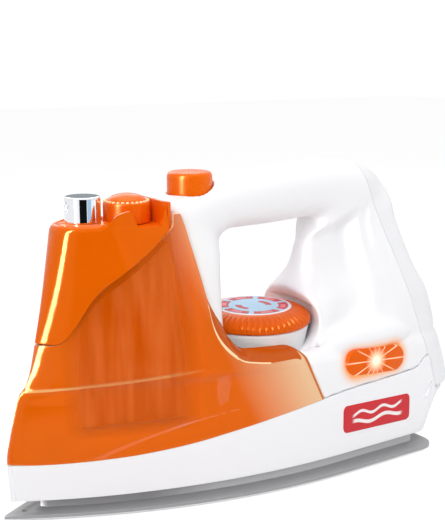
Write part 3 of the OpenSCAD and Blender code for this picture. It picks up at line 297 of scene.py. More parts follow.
card("dark_card", 13, 0.45, 0.16, 0.38, 0.32, (0.006, 0.007, 0.008, 1))
card("blue_card", 52, 0.48, 0.16, 0.21, 0.32, (0.45, 0.68, 0.9, 1))
card("grey_card", 180, 0.7, 0.29, 0.5, 0.12, (0.34, 0.37, 0.4, 1))
print("cards stand round the nozzle")

# %% [markdown]
# ## Finishes
# The iron is moulded plastic, some of it clear. Moulded plastic is never one flat colour: it
# has faint clouds of pigment, a fine grain that breaks up its gloss, and a little sink and
# ripple over broad faces. One node group makes these from Object coordinates, and each
# material sets its own colour and amounts. The shader itself stays in the material.

# %% Build the moulded grain group
cloud_scale, grain_scale, ripple_scale = 38, 1400.0, 22


def grain_group():
    group, out = new_group("moulded_grain", ("Colour", "Roughness", "Height"), (
        ("Colour", (0.8, 0.8, 0.8, 1)), ("Cloud", 0.05), ("Gloss", 0.3), ("Ripple", 0.4)))
    given = group.nodes.new("NodeGroupInput").outputs
    place = object_place(group)
    cloud = calc(group, "SUBTRACT", noise(group, place, cloud_scale, 3), 0.5)
    level = calc(group, "ADD", calc(group, "MULTIPLY", cloud, given["Cloud"]), 1.0)
    tinted = add_node(group, "ShaderNodeHueSaturation", Color=given["Colour"], Value=level)
    grain = noise(group, place, grain_scale, 2)
    spread = remap(group, grain, 0.3, 0.7, 0.85, 1.15)
    gloss = calc(group, "MULTIPLY", spread, given["Gloss"], clamp=True)
    ripple = calc(group, "MULTIPLY", noise(group, place, ripple_scale, 1), given["Ripple"])
    height = calc(group, "ADD", ripple, calc(group, "MULTIPLY", grain, 0.02))
    feed(group, tinted.outputs["Color"], out.inputs["Colour"])
    feed(group, gloss, out.inputs["Roughness"])
    feed(group, height, out.inputs["Height"])
    return group


moulded_grain = grain_group()
print("group", moulded_grain.name)


# %% Write plastics with it
def start_material(name, **amounts):
    """A material whose colour, gloss and bump come from the grain group with its own amounts."""
    made = bpy.data.materials.new(name)
    made.use_nodes = True
    tree = made.node_tree
    shader = tree.nodes["Principled BSDF"]
    grain = use_group(tree, moulded_grain)
    for title, value in amounts.items():
        feed(tree, value, grain.inputs[title])
    bump = add_node(tree, "ShaderNodeBump", Distance=1 * mm, Strength=0.2, Height=grain.outputs["Height"])
    tree.links.new(grain.outputs["Colour"], shader.inputs["Base Color"])
    tree.links.new(grain.outputs["Roughness"], shader.inputs["Roughness"])
    tree.links.new(bump.outputs["Normal"], shader.inputs["Normal"])
    return made, tree, shader, grain


def plastic(name, colour, gloss=0.3, cloud=0.05, ripple=0.3, alpha=1.0, level=0.4, tint=None):
    made, tree, shader, grain = start_material(name, Colour=linear(*colour), Gloss=gloss, Cloud=cloud,
                                               Ripple=ripple)
    shader.inputs["Specular IOR Level"].default_value = level
    shader.inputs["Alpha"].default_value = alpha
    if tint:
        shader.inputs["Specular Tint"].default_value = tint
    return made


# A white room would wash the orange out to pink, so its gloss is tinted.
warm = (1.0, 0.46, 0.16, 1)
white_plastic = plastic("white_body", (244, 244, 246), gloss=0.46, cloud=0.02, ripple=0.0, level=0.3)
base_plastic = plastic("white_base", (244, 244, 247), gloss=0.4, cloud=0.02, ripple=0.0, level=0.3)
cover_plastic = plastic("white_cover", (238, 238, 241), gloss=0.5, cloud=0.02, ripple=0.0, level=0.3)
seat_plastic = plastic("white_seat", (232, 232, 235), gloss=0.4, cloud=0.02, ripple=0.0, level=0.3)
orange_plastic = plastic("orange_knob", (242, 104, 2), gloss=0.28, ripple=0.05, tint=warm)
dial_plastic = plastic("orange_dial", (222, 90, 2), gloss=0.34, cloud=0.06, ripple=0.05, tint=warm)
clear_orange = plastic("clear_orange", (244, 106, 0), gloss=0.1, cloud=0.08, ripple=0.12, level=0.7,
                       tint=warm)
clear_hood = plastic("clear_hood", (242, 104, 2), gloss=0.1, cloud=0.08, ripple=0.08, alpha=0.9, tint=warm)
# Painted highlight: a pale cream for the rim faces of the clear walls, the ledge's crease and the cap's
# beads.
painted_highlight_orange = plastic("painted_highlight_rim", (255, 222, 170), gloss=0.2, ripple=0.0)
ledge_orange = plastic("ledge_orange", (196, 82, 0), gloss=0.2, cloud=0.12, ripple=0.1, tint=warm)
# Painted shade: a deep orange for the lip in the shaded joint under the hood.
painted_shade_orange = plastic("shaded_orange", (150, 56, 0), cloud=0.1, ripple=0.1, tint=warm)
sole_grey = plastic("sole_grey", (158, 158, 160), gloss=0.35, ripple=0.05)
hidden_white = plastic("hidden_white", (225, 225, 222), gloss=0.45)
hidden_dark = plastic("hidden_dark", (60, 60, 62), gloss=0.5)
print("plastics:", len(bpy.data.materials))

# %% [markdown]
# The clear wall is thinner to the eye where the tank stands behind it. A mask from two
# coordinates, in a group of its own, lowers the Alpha there.

# %% Thin the clear wall beside the tank
def window_group():
    group, out = new_group("tank_window", ("Alpha",))
    axes = axes_of(group)
    beside = band(group, axes["X"], -0.1, -0.038, 0.01)
    above = band(group, axes["Z"], 0.038, 0.2, 0.006)
    thin = remap(group, calc(group, "MULTIPLY", beside, above), 0.0, 1.0, 0.8, 0.4)
    feed(group, thin, out.inputs["Alpha"])
    return group


shell_tree = clear_orange.node_tree
window = use_group(shell_tree, window_group())
shell_tree.links.new(window.outputs["Alpha"], shell_tree.nodes["Principled BSDF"].inputs["Alpha"])
print("group", window.node_tree.name)


# %% Paint bands across two finishes
def paint_over(look, colour, mask):
    """Lays a colour over a material's own through a mask."""
    tree = look.node_tree
    base = tree.nodes["Principled BSDF"].inputs["Base Color"]
    painted = blend(tree, base.links[0].from_socket, linear(*colour), mask)
    tree.links.new(painted, base)


# Painted highlights on the sole: a pale line along its lower edge, and a lighter upper flank high up towards
# the heel.
sole_tree = sole_grey.node_tree
sole_axes = axes_of(sole_tree)
high_flank = band(sole_tree, sole_axes["Z"], 3.5 * mm, 8 * mm, 0.2 * mm)
heel_side = band(sole_tree, sole_axes["X"], -0.06, 0.23, 0.03)
paint_over(sole_grey, (203, 203, 205), calc(sole_tree, "MULTIPLY", high_flank, heel_side))
paint_over(sole_grey, (240, 240, 242), band(sole_tree, sole_axes["Z"], -1.3 * mm, 1.8 * mm, 0.3 * mm))

# The shell's tail is thin and lies over the white body, so it goes paler towards its rear edge,
# and only that edge is a deeper orange again. Its value grows at right angles to that edge.
shell_axes = axes_of(shell_tree)
tail = calc(shell_tree, "MULTIPLY_ADD", shell_axes["Z"], 0.42, shell_axes["X"])
paint_over(clear_orange, (255, 214, 170), band(shell_tree, tail, 4 * mm, 0.34, 40 * mm))
paint_over(clear_orange, (214, 100, 24), band(shell_tree, tail, 46 * mm, 0.34, 0.6 * mm))

# A painted highlight runs along the crest of the raised line on the shell's side.
crest = calc(shell_tree, "MULTIPLY_ADD", shell_axes["X"], -0.0667, shell_axes["Z"])
along_crest = band(shell_tree, shell_axes["X"], -0.16, -0.036, 0.02)
on_crest = band(shell_tree, crest, 68.7 * mm, 70.1 * mm, 0.4 * mm)
paint_over(clear_orange, (255, 190, 120), calc(shell_tree, "MULTIPLY", along_crest, on_crest))
print("bands painted on", sole_grey.name, "and", clear_orange.name)


# %% Paint light and shade bands on the clear tank
def flute_light_group():
    """Painted light and shade: upright light and dark bands, as clear flutes throw them, from two noises
    drawn out along Z.
    """
    group, out = new_group("painted_flute_light", ("Streak",))
    place = object_place(group)
    parts = []
    for stretch, scale in ((0.05, 95), (0.09, 210)):
        drawn = add_node(group, "ShaderNodeMapping", Vector=place, Scale=(1, 1, stretch))
        parts.append(noise(group, drawn.outputs["Vector"], scale, 1))
    feed(group, remap(group, calc(group, "ADD", *parts), 0.8, 1.2), out.inputs["Streak"])
    return group


tank_orange, tank_tree, tank_shader, tank_grain = start_material("tank_orange", Gloss=0.14)
flute_bands = use_group(tank_tree, flute_light_group())
# The flutes' painted light and shade run from this dark orange to this pale one.
tank_colour = blend(tank_tree, linear(196, 74, 0), linear(255, 176, 104), flute_bands.outputs["Streak"])
tank_tree.links.new(tank_colour, tank_grain.inputs["Colour"])
tank_shader.inputs["Alpha"].default_value = 0.96
print("materials so far:", len(bpy.data.materials))

# %% [markdown]
# ## The outer form
# The nose of the iron is one smooth form that the clear shell, the hood and the base all share.
# It is described by how far the nose is set back, how wide it is and how fast it widens at a
# few heights. A smooth line through those few values gives every point between them, so the
# surface has no facets. All values are shares of the length, the height and half the width.

# %% Sizes that the forms follow
total_l, body_h, half_w = 253 * mm, 157.6 * mm, 49 * mm
wall, fit, skirt_z = 2.2 * mm, 0.3 * mm, 9.6 * mm


def place(back):
    """Distance behind the tip of the sole, turned into X."""
    return back - total_l / 2


def smooth_line(pairs):
    """A curve through pairs of values that bends smoothly and never overshoots them."""
    x = np.array([p[0] for p in pairs], dtype=float)
    y = np.array([p[1] for p in pairs], dtype=float)
    run = np.diff(x)
    rise = np.diff(y) / run
    lean = np.concatenate(([rise[0]], np.zeros(len(x) - 2), [rise[-1]]))
    for i in range(1, len(x) - 1):
        if rise[i - 1] * rise[i] > 0:
            before, after = 2 * run[i] + run[i - 1], run[i] + 2 * run[i - 1]
            lean[i] = (before + after) / (before / rise[i - 1] + after / rise[i])

    def at(value):
        v = np.clip(np.asarray(value, dtype=float), x[0], x[-1])
        i = np.clip(np.searchsorted(x, v, side="right") - 1, 0, len(x) - 2)
        t = (v - x[i]) / run[i]
        return ((1 + 2 * t) * (1 - t) ** 2 * y[i] + t * (1 - t) ** 2 * run[i] * lean[i]
                + t * t * (3 - 2 * t) * y[i + 1] + t * t * (t - 1) * run[i] * lean[i + 1])
    return at


def lines_of(stations):
    """One smooth line for each column of a table of stations."""
    return [smooth_line(list(enumerate(column))) for column in zip(*stations)]


level_shares = [0.06, 0.19, 0.26, 0.35, 0.375, 0.41, 0.53, 0.87]
nose_line, width_line, taper_line, blunt_line = (
    smooth_line(list(zip(level_shares, values))) for values in (
        [0.014, 0.01, 0.018, 0.032, 0.037, 0.053, 0.073, 0.116],
        [0.888, 0.867, 0.847, 0.812, 0.8, 0.771, 0.673, 0.398],
        [0.652, 0.652, 0.64, 0.613, 0.593, 0.466, 0.387, 0.158],
        [0.92, 0.92, 0.9, 0.9, 0.88, 0.85, 0.74, 0.42]))
heel_line = smooth_line([[0.025, 0.919], [0.063, 0.931], [0.178, 0.97], [0.228, 1], [0.279, 0.994],
                         [0.381, 0.978], [0.422, 0.972], [0.508, 0.962]])


def nose_at(z):
    return total_l * nose_line(z / body_h)


def heel_at(z):
    return total_l * heel_line(z / body_h)


def form_w(from_nose, z):
    """Half width of the outer form at a distance behind its nose."""
    share = z / body_h
    t = np.clip(from_nose / (total_l * taper_line(share)), 0, 1)
    return half_w * width_line(share) * (1 - (1 - t) ** 2) ** blunt_line(share)


print("half width at the heel:", round(float(form_w(0.2, 0.03)) * 1000, 1), "mm")

# %% [markdown]
# ## Mesh helpers
# Each piece starts as a primitive. A grid is laid on a curved surface by a rule, the others are
# scaled and settled. Edit mode welds and closes them, and modifiers give walls their thickness
# and edges their roundness. A Boolean with a plain tool makes every cut.

# %% Helpers for one piece
def only(piece):
    bpy.ops.object.select_all(action="DESELECT")
    piece.select_set(True)
    bpy.context.view_layer.objects.active = piece


def sheet_of(name, across, along, spot, marks=None):
    """A grid primitive whose points are laid on a surface by a rule of two shares.

    A second rule may mark faces, by the shares of their middle, for a material of their own."""
    bpy.ops.object.select_all(action="DESELECT")
    bpy.ops.mesh.primitive_grid_add(x_subdivisions=across, y_subdivisions=along, size=1)
    piece = bpy.context.object
    piece.name = name
    mesh = piece.data
    flat = np.empty(len(mesh.vertices) * 3)
    mesh.vertices.foreach_get("co", flat)
    flat = flat.reshape(-1, 3) + 0.5
    if marks:
        corners = np.empty(4 * len(mesh.polygons), dtype=int)
        mesh.polygons.foreach_get("vertices", corners)
        middle = flat[corners].reshape(-1, 4, 3).mean(axis=1)
        for slot in range(4):
            mesh.materials.append(None)
        mesh.polygons.foreach_set("material_index", marks(middle[:, 0], middle[:, 1]).astype(int))
    laid = np.stack(spot(flat[:, 0], flat[:, 1]), axis=1)
    mesh.vertices.foreach_set("co", laid.ravel())
    mesh.update()
    return piece


def apply_modifier(piece, kind, **settings):
    """Adds one modifier with its settings and applies it."""
    only(piece)
    made = piece.modifiers.new(kind.lower(), kind)
    for key, value in settings.items():
        setattr(made, key, value)
    bpy.ops.object.modifier_apply(modifier=made.name)


def thicken(piece, thickness=wall, **more):
    apply_modifier(piece, "SOLIDIFY", thickness=thickness, offset=-1, use_even_offset=False, **more)


def round_edges(piece, width, segments=2, angle=50):
    apply_modifier(piece, "BEVEL", width=width, segments=segments, limit_method="ANGLE",
                   angle_limit=math.radians(angle))


def weld(piece, reach=0.01 * mm, fill=False, outward=False):
    """Merges doubles, closes open ends and turns the faces outward where asked."""
    only(piece)
    bpy.ops.object.mode_set(mode="EDIT")
    bpy.ops.mesh.select_all(action="SELECT")
    bpy.ops.mesh.remove_doubles(threshold=reach)
    if fill:
        bpy.ops.mesh.select_all(action="DESELECT")
        bpy.ops.mesh.select_mode(type="EDGE")
        bpy.ops.mesh.select_non_manifold()
        bpy.ops.mesh.fill()
        bpy.ops.mesh.select_mode(type="VERT")
    if outward:
        bpy.ops.mesh.select_all(action="SELECT")
        bpy.ops.mesh.normals_make_consistent(inside=False)
    bpy.ops.object.mode_set(mode="OBJECT")


def soften(piece, angle=35):
    only(piece)
    bpy.ops.object.shade_smooth_by_angle(angle=math.radians(angle))


def finish_piece(piece, look, body, slot, *nodes, more=()):
    """Gives a piece its material, its body and the nodes that it stands for. The slot is not used."""
    marks = [face.material_index for face in piece.data.polygons]
    piece.data.materials.clear()
    for one in (look, *more):
        piece.data.materials.append(one)
    for face, mark in zip(piece.data.polygons, marks):
        face.material_index = min(mark, len(more))
    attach(piece, body)
    if nodes:
        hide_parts(*nodes)
    print(piece.name, "faces", len(piece.data.polygons))


# %% Helpers for solids, copies and cuts
def primitive(operator, name, centre, scale=(1, 1, 1), **settings):
    """Runs a primitive's operator and moves the object's place, turn and scale into its mesh."""
    bpy.ops.object.select_all(action="DESELECT")
    operator(location=centre, **settings)
    made = bpy.context.object
    made.name = name
    made.scale = scale
    only(made)
    bpy.ops.object.transform_apply(location=True, rotation=True, scale=True)
    return made


def ball(name, centre, reach):
    """An ellipsoid with its three reaches."""
    return primitive(bpy.ops.mesh.primitive_uv_sphere_add, name, centre, reach,
                     segments=96, ring_count=48, radius=1)


def block(name, low, high):
    centre = [(a + b) / 2 for a, b in zip(low, high)]
    scale = [b - a for a, b in zip(low, high)]
    return primitive(bpy.ops.mesh.primitive_cube_add, name, centre, scale, size=1)


def round_bar(name, back, low, high, r, count=96):
    """An upright cylinder on the middle line of the iron."""
    return primitive(bpy.ops.mesh.primitive_cylinder_add, name, (place(back), 0, (low + high) / 2),
                     vertices=count, radius=r, depth=high - low)


def twin(piece, name):
    """A second object with its own copy of the mesh."""
    made = bpy.data.objects.new(name, piece.data.copy())
    bpy.context.scene.collection.objects.link(made)
    return made


def join(pieces, name):
    only(pieces[0])
    for other in pieces:
        other.select_set(True)
    bpy.ops.object.join()
    joined = bpy.context.object
    joined.name = name
    return joined


def carve(piece, tool, way="DIFFERENCE"):
    apply_modifier(piece, "BOOLEAN", operation=way, solver="MANIFOLD", object=tool)
    bpy.data.objects.remove(tool)


def both_sides(u):
    """From a share that runs far side, nose, near side: the side and the share from the nose."""
    return np.where(u < 0.5, 1.0, -1.0), np.abs(2 * u - 1)


def four_sides(u):
    """Once round a box, over its front, near side, rear and far side: the share behind, the side."""
    part = (u * 4) % 4
    along = np.where(part < 1, 0.0, np.where(part < 2, part - 1, np.where(part < 3, 1.0, 4 - part)))
    side = np.where(part < 1, 1 - 2 * part, np.where(part < 2, -1.0, np.where(part < 3, 2 * part - 5, 1.0)))
    return along, side


print("helpers are ready")

# %% [markdown]
# ## Base housing
# The white base is a thin ring that stands on the sole and ends in a seam that climbs from the
# nose to the heel. A grid is laid on the outer form from its foot to that seam, its two ends
# are welded at the heel, and Solidify gives the wall its thickness, inwards.

# %% Model the base housing
heel_corner = 15 * mm
side_share, corner_share = 0.8, 0.9
cover_foot = (0.935, 0.197)
seam_line = smooth_line([[0, 0.175], [0.08, 0.173], [0.2, 0.178], [0.27, 0.186], [0.34, 0.198], [0.4, 0.212],
                         [0.44, 0.221], [0.54, 0.244], [0.61, 0.259], [0.7, 0.273], [0.81, 0.282],
                         [0.877, 0.291], [0.913, 0.325], cover_foot, [1.1, 0.197]])


def ring_spot(way, z):
    """A point on the outline at one height: way runs 0 at the nose to 1 at the heel's middle."""
    nose, end = nose_at(z), heel_at(z)
    along = np.clip(way / side_share, 0, 1)
    back = nose + (end - heel_corner - nose) * along ** 1.5
    w = form_w(back - nose, z)
    turn = np.clip((way - side_share) / 0.1, 0, 1) * math.pi / 2
    last = np.clip((way - corner_share) / 0.1, 0, 1)
    back = np.where(way > side_share, end - heel_corner * (1 - np.sin(turn)), back)
    w = np.where(way > side_share, w - heel_corner * (1 - np.cos(turn)), w)
    w = np.where(way > corner_share, w * (1 - last), w)
    return back, w


def base_spot(u, v):
    side, way = both_sides(u)
    # Columns stand close together where the seam drops to the heel.
    way = np.interp(way, [0, 0.7, 0.8, 1], [0, 0.785, 0.803, 1])
    # The seam's height in each column is found by halving.
    low, high = np.full_like(u, skirt_z), np.full_like(u, 60 * mm)
    for halving in range(22):
        middle = (low + high) / 2
        back, w = ring_spot(way, middle)
        above = middle > body_h * seam_line(back / total_l) - fit / 2
        low, high = np.where(above, low, middle), np.where(above, middle, high)
    z = skirt_z + (low - skirt_z) * v
    back, w = ring_spot(way, z)
    return place(back), side * w, z


base = sheet_of("base_form", 420, 22, base_spot)
weld(base)
thicken(base)
round_edges(base, 0.5 * mm)
soften(base)
finish_piece(base, base_plastic, "iron", "white", "base_housing")

# %% [markdown]
# ## Clear shell
# The orange shell is one clear moulding that wraps the nose, climbs the hood on each side and
# ends behind in a low ledge that rolls inwards over the white body. Its upper edge is a list of
# stations along which the grid is laid. Solidify and a small bevel give the rim the rounded edge
# that catches the light; the rim faces and the ledge's crease are also painted a highlight colour.

# %% Stations and rules of the clear shell
rim_line = smooth_line([[0.372, 0.635], [0.379, 0.552], [0.395, 0.492], [0.418, 0.452], [0.437, 0.431],
                        [0.462, 0.421], [0.502, 0.411], [0.571, 0.409], [0.64, 0.409]])
ledge_line = smooth_line([[0.372, 0.636], [0.389, 0.582], [0.406, 0.543], [0.421, 0.498], [0.454, 0.456],
                          [0.476, 0.451], [0.521, 0.445], [0.569, 0.441], [0.64, 0.441]])
ledge_start, ledge_full = 0.372, 0.454
ledge_w = 9 * mm
shell_head_shares = [
    [0.073, 0.527], [0.083, 0.527], [0.095, 0.527], [0.105, 0.53], [0.117, 0.546],
    [0.13, 0.577], [0.144, 0.615], [0.16, 0.657], [0.182, 0.695], [0.213, 0.73], [0.245, 0.765],
    [0.277, 0.803], [0.31, 0.841], [0.3215, 0.86], [0.324, 0.89], [0.335, 0.89], [0.343, 0.863],
    [0.35, 0.812], [0.358, 0.749], [0.366, 0.685], [0.372, 0.635], [0.389, 0.582], [0.406, 0.543],
    [0.421, 0.498], [0.454, 0.456], [0.476, 0.451], [0.521, 0.445], [0.557, 0.44], [0.577, 0.422],
    [0.587, 0.39], [0.595, 0.355], [0.609, 0.301], [0.618, 0.265]]
shell_foot_shares = [
    0.01, 0.018, 0.03, 0.045, 0.063, 0.083, 0.103, 0.123, 0.146, 0.17, 0.194, 0.217,
    0.241, 0.257, 0.267, 0.278, 0.291, 0.305, 0.32, 0.336, 0.352, 0.372, 0.395, 0.421, 0.447, 0.47,
    0.504, 0.538, 0.565, 0.583, 0.595, 0.607, 0.618]
shell_back, shell_top = lines_of(shell_head_shares)
shell_foot = smooth_line(list(enumerate(shell_foot_shares)))


def pull_in(back, z, share):
    """A foot or head point, brought to the nose where the share is 0."""
    nose = nose_at(z)
    return [nose + (back - nose) * share, z]


def rolled_share(back, z):
    """How far the wall has rolled inwards into the ledge, 0 to 1."""
    share = back / total_l
    rim, top = body_h * rim_line(share), body_h * ledge_line(share)
    gain = np.clip((share - ledge_start) / (ledge_full - ledge_start), 0, 1)
    return np.clip((z - rim) / (top - rim + fit), 0, 1) ** 1.15 * gain


def laid_row(foot, head, row):
    """Height and distance behind the nose on the line from a foot to a head point."""
    z = foot[1] + (head[1] - foot[1]) * row
    low, high = foot[0] - nose_at(foot[1]), head[0] - nose_at(head[1])
    return z, low + (high - low) * row


def laid_spot(side, foot, head, row):
    """A point between a foot and a head point of a sheet that lies on the outer form."""
    z, from_nose = laid_row(foot, head, row)
    from_nose = np.maximum(from_nose, 0)
    back = nose_at(z) + from_nose
    w = form_w(from_nose, z) - ledge_w * rolled_share(back, z)
    return place(back), side * w, z


# %% Ridge and crease of the clear shell
ridge_low, ridge_high, ridge_end = 60.5 * mm, 65.5 * mm, 75 * mm
ridge_out, ridge_step = 0.75 * mm, 0.1 * mm
crease_row, crease_most = 0.8, 0.97


def ridge(back, z):
    """A raised line that runs back from the shoulder of the nose, over a wall set in a little."""
    line = ridge_low + (ridge_high - ridge_low) * np.clip(back / ridge_end, 0, 1.3)
    fade = 1 - np.clip((back - 0.8 * ridge_end) / (0.5 * ridge_end), 0, 1)
    bead = ridge_out * np.exp(-((z - line) / (0.7 * mm)) ** 2)
    inset = ridge_step * np.clip((z - line) / (1.2 * mm), 0, 1)
    return (bead - inset) * fade


def crease_at(i, foot, head):
    """The row that lies on the ledge's front edge, so that the crease runs along whole faces."""
    row = np.full_like(head[0], crease_row)
    for again in range(8):
        z, from_nose = laid_row(foot, head, row)
        share = (nose_at(z) + from_nose) / total_l
        wanted = (body_h * rim_line(share) - foot[1]) / (head[1] - foot[1])
        row = 0.4 * row + 0.6 * np.clip(wanted, 0.3, crease_most)
    before = crease_row + (crease_most - crease_row) * np.clip((i - 17) / 3, 0, 1)
    past = np.clip((i - 27) / 1.5, 0, 1)
    return np.where(i < 20, before, row + (crease_row - row) * past)


def shell_marks(u, v):
    """0 for the wall, 1 for the crease with its painted highlight, 2 for the top of the ledge."""
    i = both_sides(u)[1] * (len(shell_head_shares) - 1)
    on_ledge = (i > 20.1) & (i < 27.6)
    crease = on_ledge & (np.abs(v - crease_row) < np.where(i < 23, 0.022, 0.012)) & (i < 25.5)
    return np.where(crease, 1, np.where(on_ledge & (v > crease_row), 2, 0))


def shell_spot(u, v):
    side, way = both_sides(u)
    i = way * (len(shell_head_shares) - 1)
    foot_back = total_l * shell_foot(i)
    middle_in = np.clip(way * 24, 0, 1)
    foot = pull_in(foot_back, body_h * seam_line(foot_back / total_l) + 0.05 * mm, middle_in)
    head = pull_in(total_l * shell_back(i), body_h * shell_top(i), middle_in)
    row = crease_at(i, foot, head)
    over = (v - crease_row) / (1 - crease_row)
    v = np.where(v < crease_row, v / crease_row * row, row + over * (1 - row))
    x, y, z = laid_spot(side, foot, head, v)
    out = ridge(x + total_l / 2, z)
    return x - out * 0.5 * (way < 0.12), y + side * out * np.clip(way / 0.02, 0, 1), z


def round_nose(piece, reach, passes):
    """Rounds the sharp front edge of a wall that wraps the nose."""
    group = piece.vertex_groups.new(name="nose")
    for v in piece.data.vertices:
        gap = (v.co.x + total_l / 2) - float(nose_at(v.co.z))
        if gap < reach:
            group.add([v.index], 1 - gap / reach, "REPLACE")
    apply_modifier(piece, "SMOOTH", factor=0.5, iterations=passes, vertex_group="nose")
    piece.vertex_groups.clear()


# %% Model the clear shell
shell = sheet_of("shell_form", 385, 101, shell_spot, shell_marks)
round_nose(shell, 9 * mm, 14)
thicken(shell, material_offset_rim=1)
round_edges(shell, 0.6 * mm)
soften(shell)
finish_piece(shell, clear_orange, "iron", "orange_clear", "front_shell",
             more=(painted_highlight_orange, ledge_orange, painted_highlight_orange))

# %% [markdown]
# ## Hood
# The hood closes the shell above the water tank. It has the same outer form, a flat deck with a
# raised step for the spray nozzle, and a wall behind the filler cap. The wall is laid as a grid,
# as the shell is. The deck and its step are outlines of the same form, raised with extrude.

# %% Stations and rules of the hood
hood_deck_z = 135.3 * mm
platform_h, platform_back = 2.2 * mm, 54 * mm
filler_back, filler_r = 67.5 * mm, 11.2 * mm
back_wall_t, back_wall_h = 1.6 * mm, 10.5 * mm
hood_end = filler_back + filler_r + fit + back_wall_t
top_round = 3 * mm
hood_foot_shares = [[0.073, 0.527], [0.081, 0.527], [0.091, 0.527], [0.103, 0.529], [0.117, 0.546],
                    [0.13, 0.577], [0.144, 0.615], [0.16, 0.657], [0.182, 0.695], [0.206, 0.721],
                    [0.225, 0.742], [0.245, 0.765], [0.265, 0.788], [0.285, 0.812], [0.3, 0.831],
                    [0.31, 0.841]]
hood_head_shares = [[0.116, 0.873], [0.12, 0.873], [0.127, 0.873], [0.138, 0.873], [0.15, 0.873],
                    [0.166, 0.873], [0.182, 0.874], [0.196, 0.882], [0.209, 0.9], [0.232, 0.91],
                    [0.242, 0.884], [0.251, 0.86], [0.273, 0.86], [0.295, 0.861], [0.302, 0.888],
                    [0.306, 0.922]]
hood_foot_back, hood_foot_top = lines_of(hood_foot_shares)
hood_head_back, hood_head_top = lines_of(hood_head_shares)


def hood_spot(u, v):
    side, way = both_sides(u)
    i = way * (len(hood_foot_shares) - 1)
    middle_in = np.clip(way * 10, 0, 1)
    foot = pull_in(total_l * hood_foot_back(i), body_h * hood_foot_top(i) + fit, middle_in)
    head = pull_in(total_l * hood_head_back(i), body_h * hood_head_top(i), middle_in)
    x, y, z = laid_spot(side, foot, head, v)
    gap = np.clip((z - (head[1] - top_round)) / top_round, 0, 1) * (1 - np.clip((i - 6) / 2, 0, 1))
    tuck = top_round * (1 - np.sqrt(1 - gap ** 2))
    return x + tuck * np.clip(1 - way * 3, 0, 1), y - side * tuck * np.clip(way * 8, 0, 1), z


def slab(name, end, inset, low, high):
    """A flat plate with the form's outline at the deck, drawn as one face and raised with extrude."""
    nose = float(nose_at(hood_deck_z))
    back = nose + inset + (end - nose - inset) * np.linspace(0, 1, 40) ** 1.6
    w = np.maximum(form_w(back - nose, hood_deck_z) - inset, 0)
    near = [(place(float(b)), float(y)) for b, y in zip(back, w)]
    points = [(x, -y, low) for x, y in near] + [(x, y, low) for x, y in near[:0:-1]]
    mesh = bpy.data.meshes.new(name)
    mesh.from_pydata(points, [], [list(range(len(points)))])
    piece = bpy.data.objects.new(name, mesh)
    bpy.context.scene.collection.objects.link(piece)
    only(piece)
    bpy.ops.object.mode_set(mode="EDIT")
    bpy.ops.mesh.select_all(action="SELECT")
    bpy.ops.mesh.extrude_region_move(TRANSFORM_OT_translate={"value": (0, 0, high - low)})
    bpy.ops.object.mode_set(mode="OBJECT")
    weld(piece, outward=True)
    return piece


# %% Model the hood
hood_wall = sheet_of("hood_wall", 241, 72, hood_spot)
round_nose(hood_wall, 6 * mm, 8)
# The rim faces made by Solidify take index 1, the painted highlight colour.
hood_wall.data.materials.append(None)
hood_wall.data.materials.append(None)
thicken(hood_wall, material_offset_rim=1)
deck = slab("hood_deck", hood_end - back_wall_t, wall * 0.6, hood_deck_z - wall, hood_deck_z)
step = slab("hood_step", platform_back, top_round + 0.4 * mm, hood_deck_z - fit,
            hood_deck_z + platform_h - 0.1 * mm)
back_wall_w = 0.8 * half_w - wall
back_wall = block("hood_back_wall", (place(hood_end - back_wall_t), -back_wall_w / 2, hood_deck_z - wall),
                  (place(hood_end), back_wall_w / 2, hood_deck_z + back_wall_h))
hood = join([hood_wall, deck, step, back_wall], "hood_form")
round_edges(hood, 0.5 * mm)
soften(hood)
finish_piece(hood, clear_hood, "iron", "orange", "hood", more=(painted_highlight_orange,))

# %% [markdown]
# Inside the shell a lip runs along the lower edge of the hood and laps the joint. It is painted
# shade, a deep orange that shows as a dark band through the clear wall.

# %% Model the lip under the hood
lip_depth, lip_t, lip_gap = 4.5 * mm, 1.2 * mm, 0.15 * mm


def lip_spot(u, v):
    side, way = both_sides(u)
    i = 0.5 + way * (len(hood_foot_shares) - 2.5)
    back = total_l * hood_foot_back(i)
    z = body_h * hood_foot_top(i) - lip_depth * (1 - v)
    w = form_w(back - nose_at(z), z) - wall - lip_gap
    set_in = (wall + lip_gap) * 1.5 * np.clip(1 - way * 6, 0, 1)
    return place(back + set_in), side * np.maximum(w, 0), z


lip = sheet_of("hood_lip", 181, 6, lip_spot)
thicken(lip, lip_t)
soften(lip)
finish_piece(lip, painted_shade_orange, "iron", "orange")

# %% [markdown]
# ## Water tank
# Behind the clear shell stands the fluted water tank. Its walls are a ring of flutes that leans
# from a wide foot to a narrow head. The ring is laid as a grid and closed above and below.

# %% Model the water tank
tank_z, tank_h = 42 * mm, 84 * mm
flute_depth, tank_flutes = 0.8 * mm, 5
tank_foot_shares = [0.11, 0.173, 0.38, 0.575]
tank_head_shares = [0.132, 0.12, 0.322, 0.3]


def tank_spot(u, v):
    """Front and rear of the tank and their widths lean from the foot to the head."""
    front, front_w, rear, rear_w = (a + (b - a) * v for a, b in zip(tank_foot_shares, tank_head_shares))
    along, side = four_sides(u)
    w = half_w * (front_w + (rear_w - front_w) * along)
    w = w - flute_depth * np.sin(math.pi * tank_flutes * along) ** 2
    back = total_l * (front + (rear - front) * along)
    return place(back), side * w, tank_z + tank_h * v


tank = sheet_of("tank_form", 401, 12, tank_spot)
weld(tank, fill=True, outward=True)
round_edges(tank, 1.2 * mm, segments=3, angle=60)
soften(tank, 50)
finish_piece(tank, tank_orange, "iron", "orange_clear", "water_tank")

# %% [markdown]
# ## White body
# The body is moulded as two halves with a rear cover: a core behind the tank, a low deck at the
# heel, and the handle that loops over both. Each is a loft, a ring of points carried along a few
# stations. Joined, they are remeshed as one skin and smoothed, which gives the soft fillets
# where the pillars meet the deck. Then the skin is cut along its real seams.

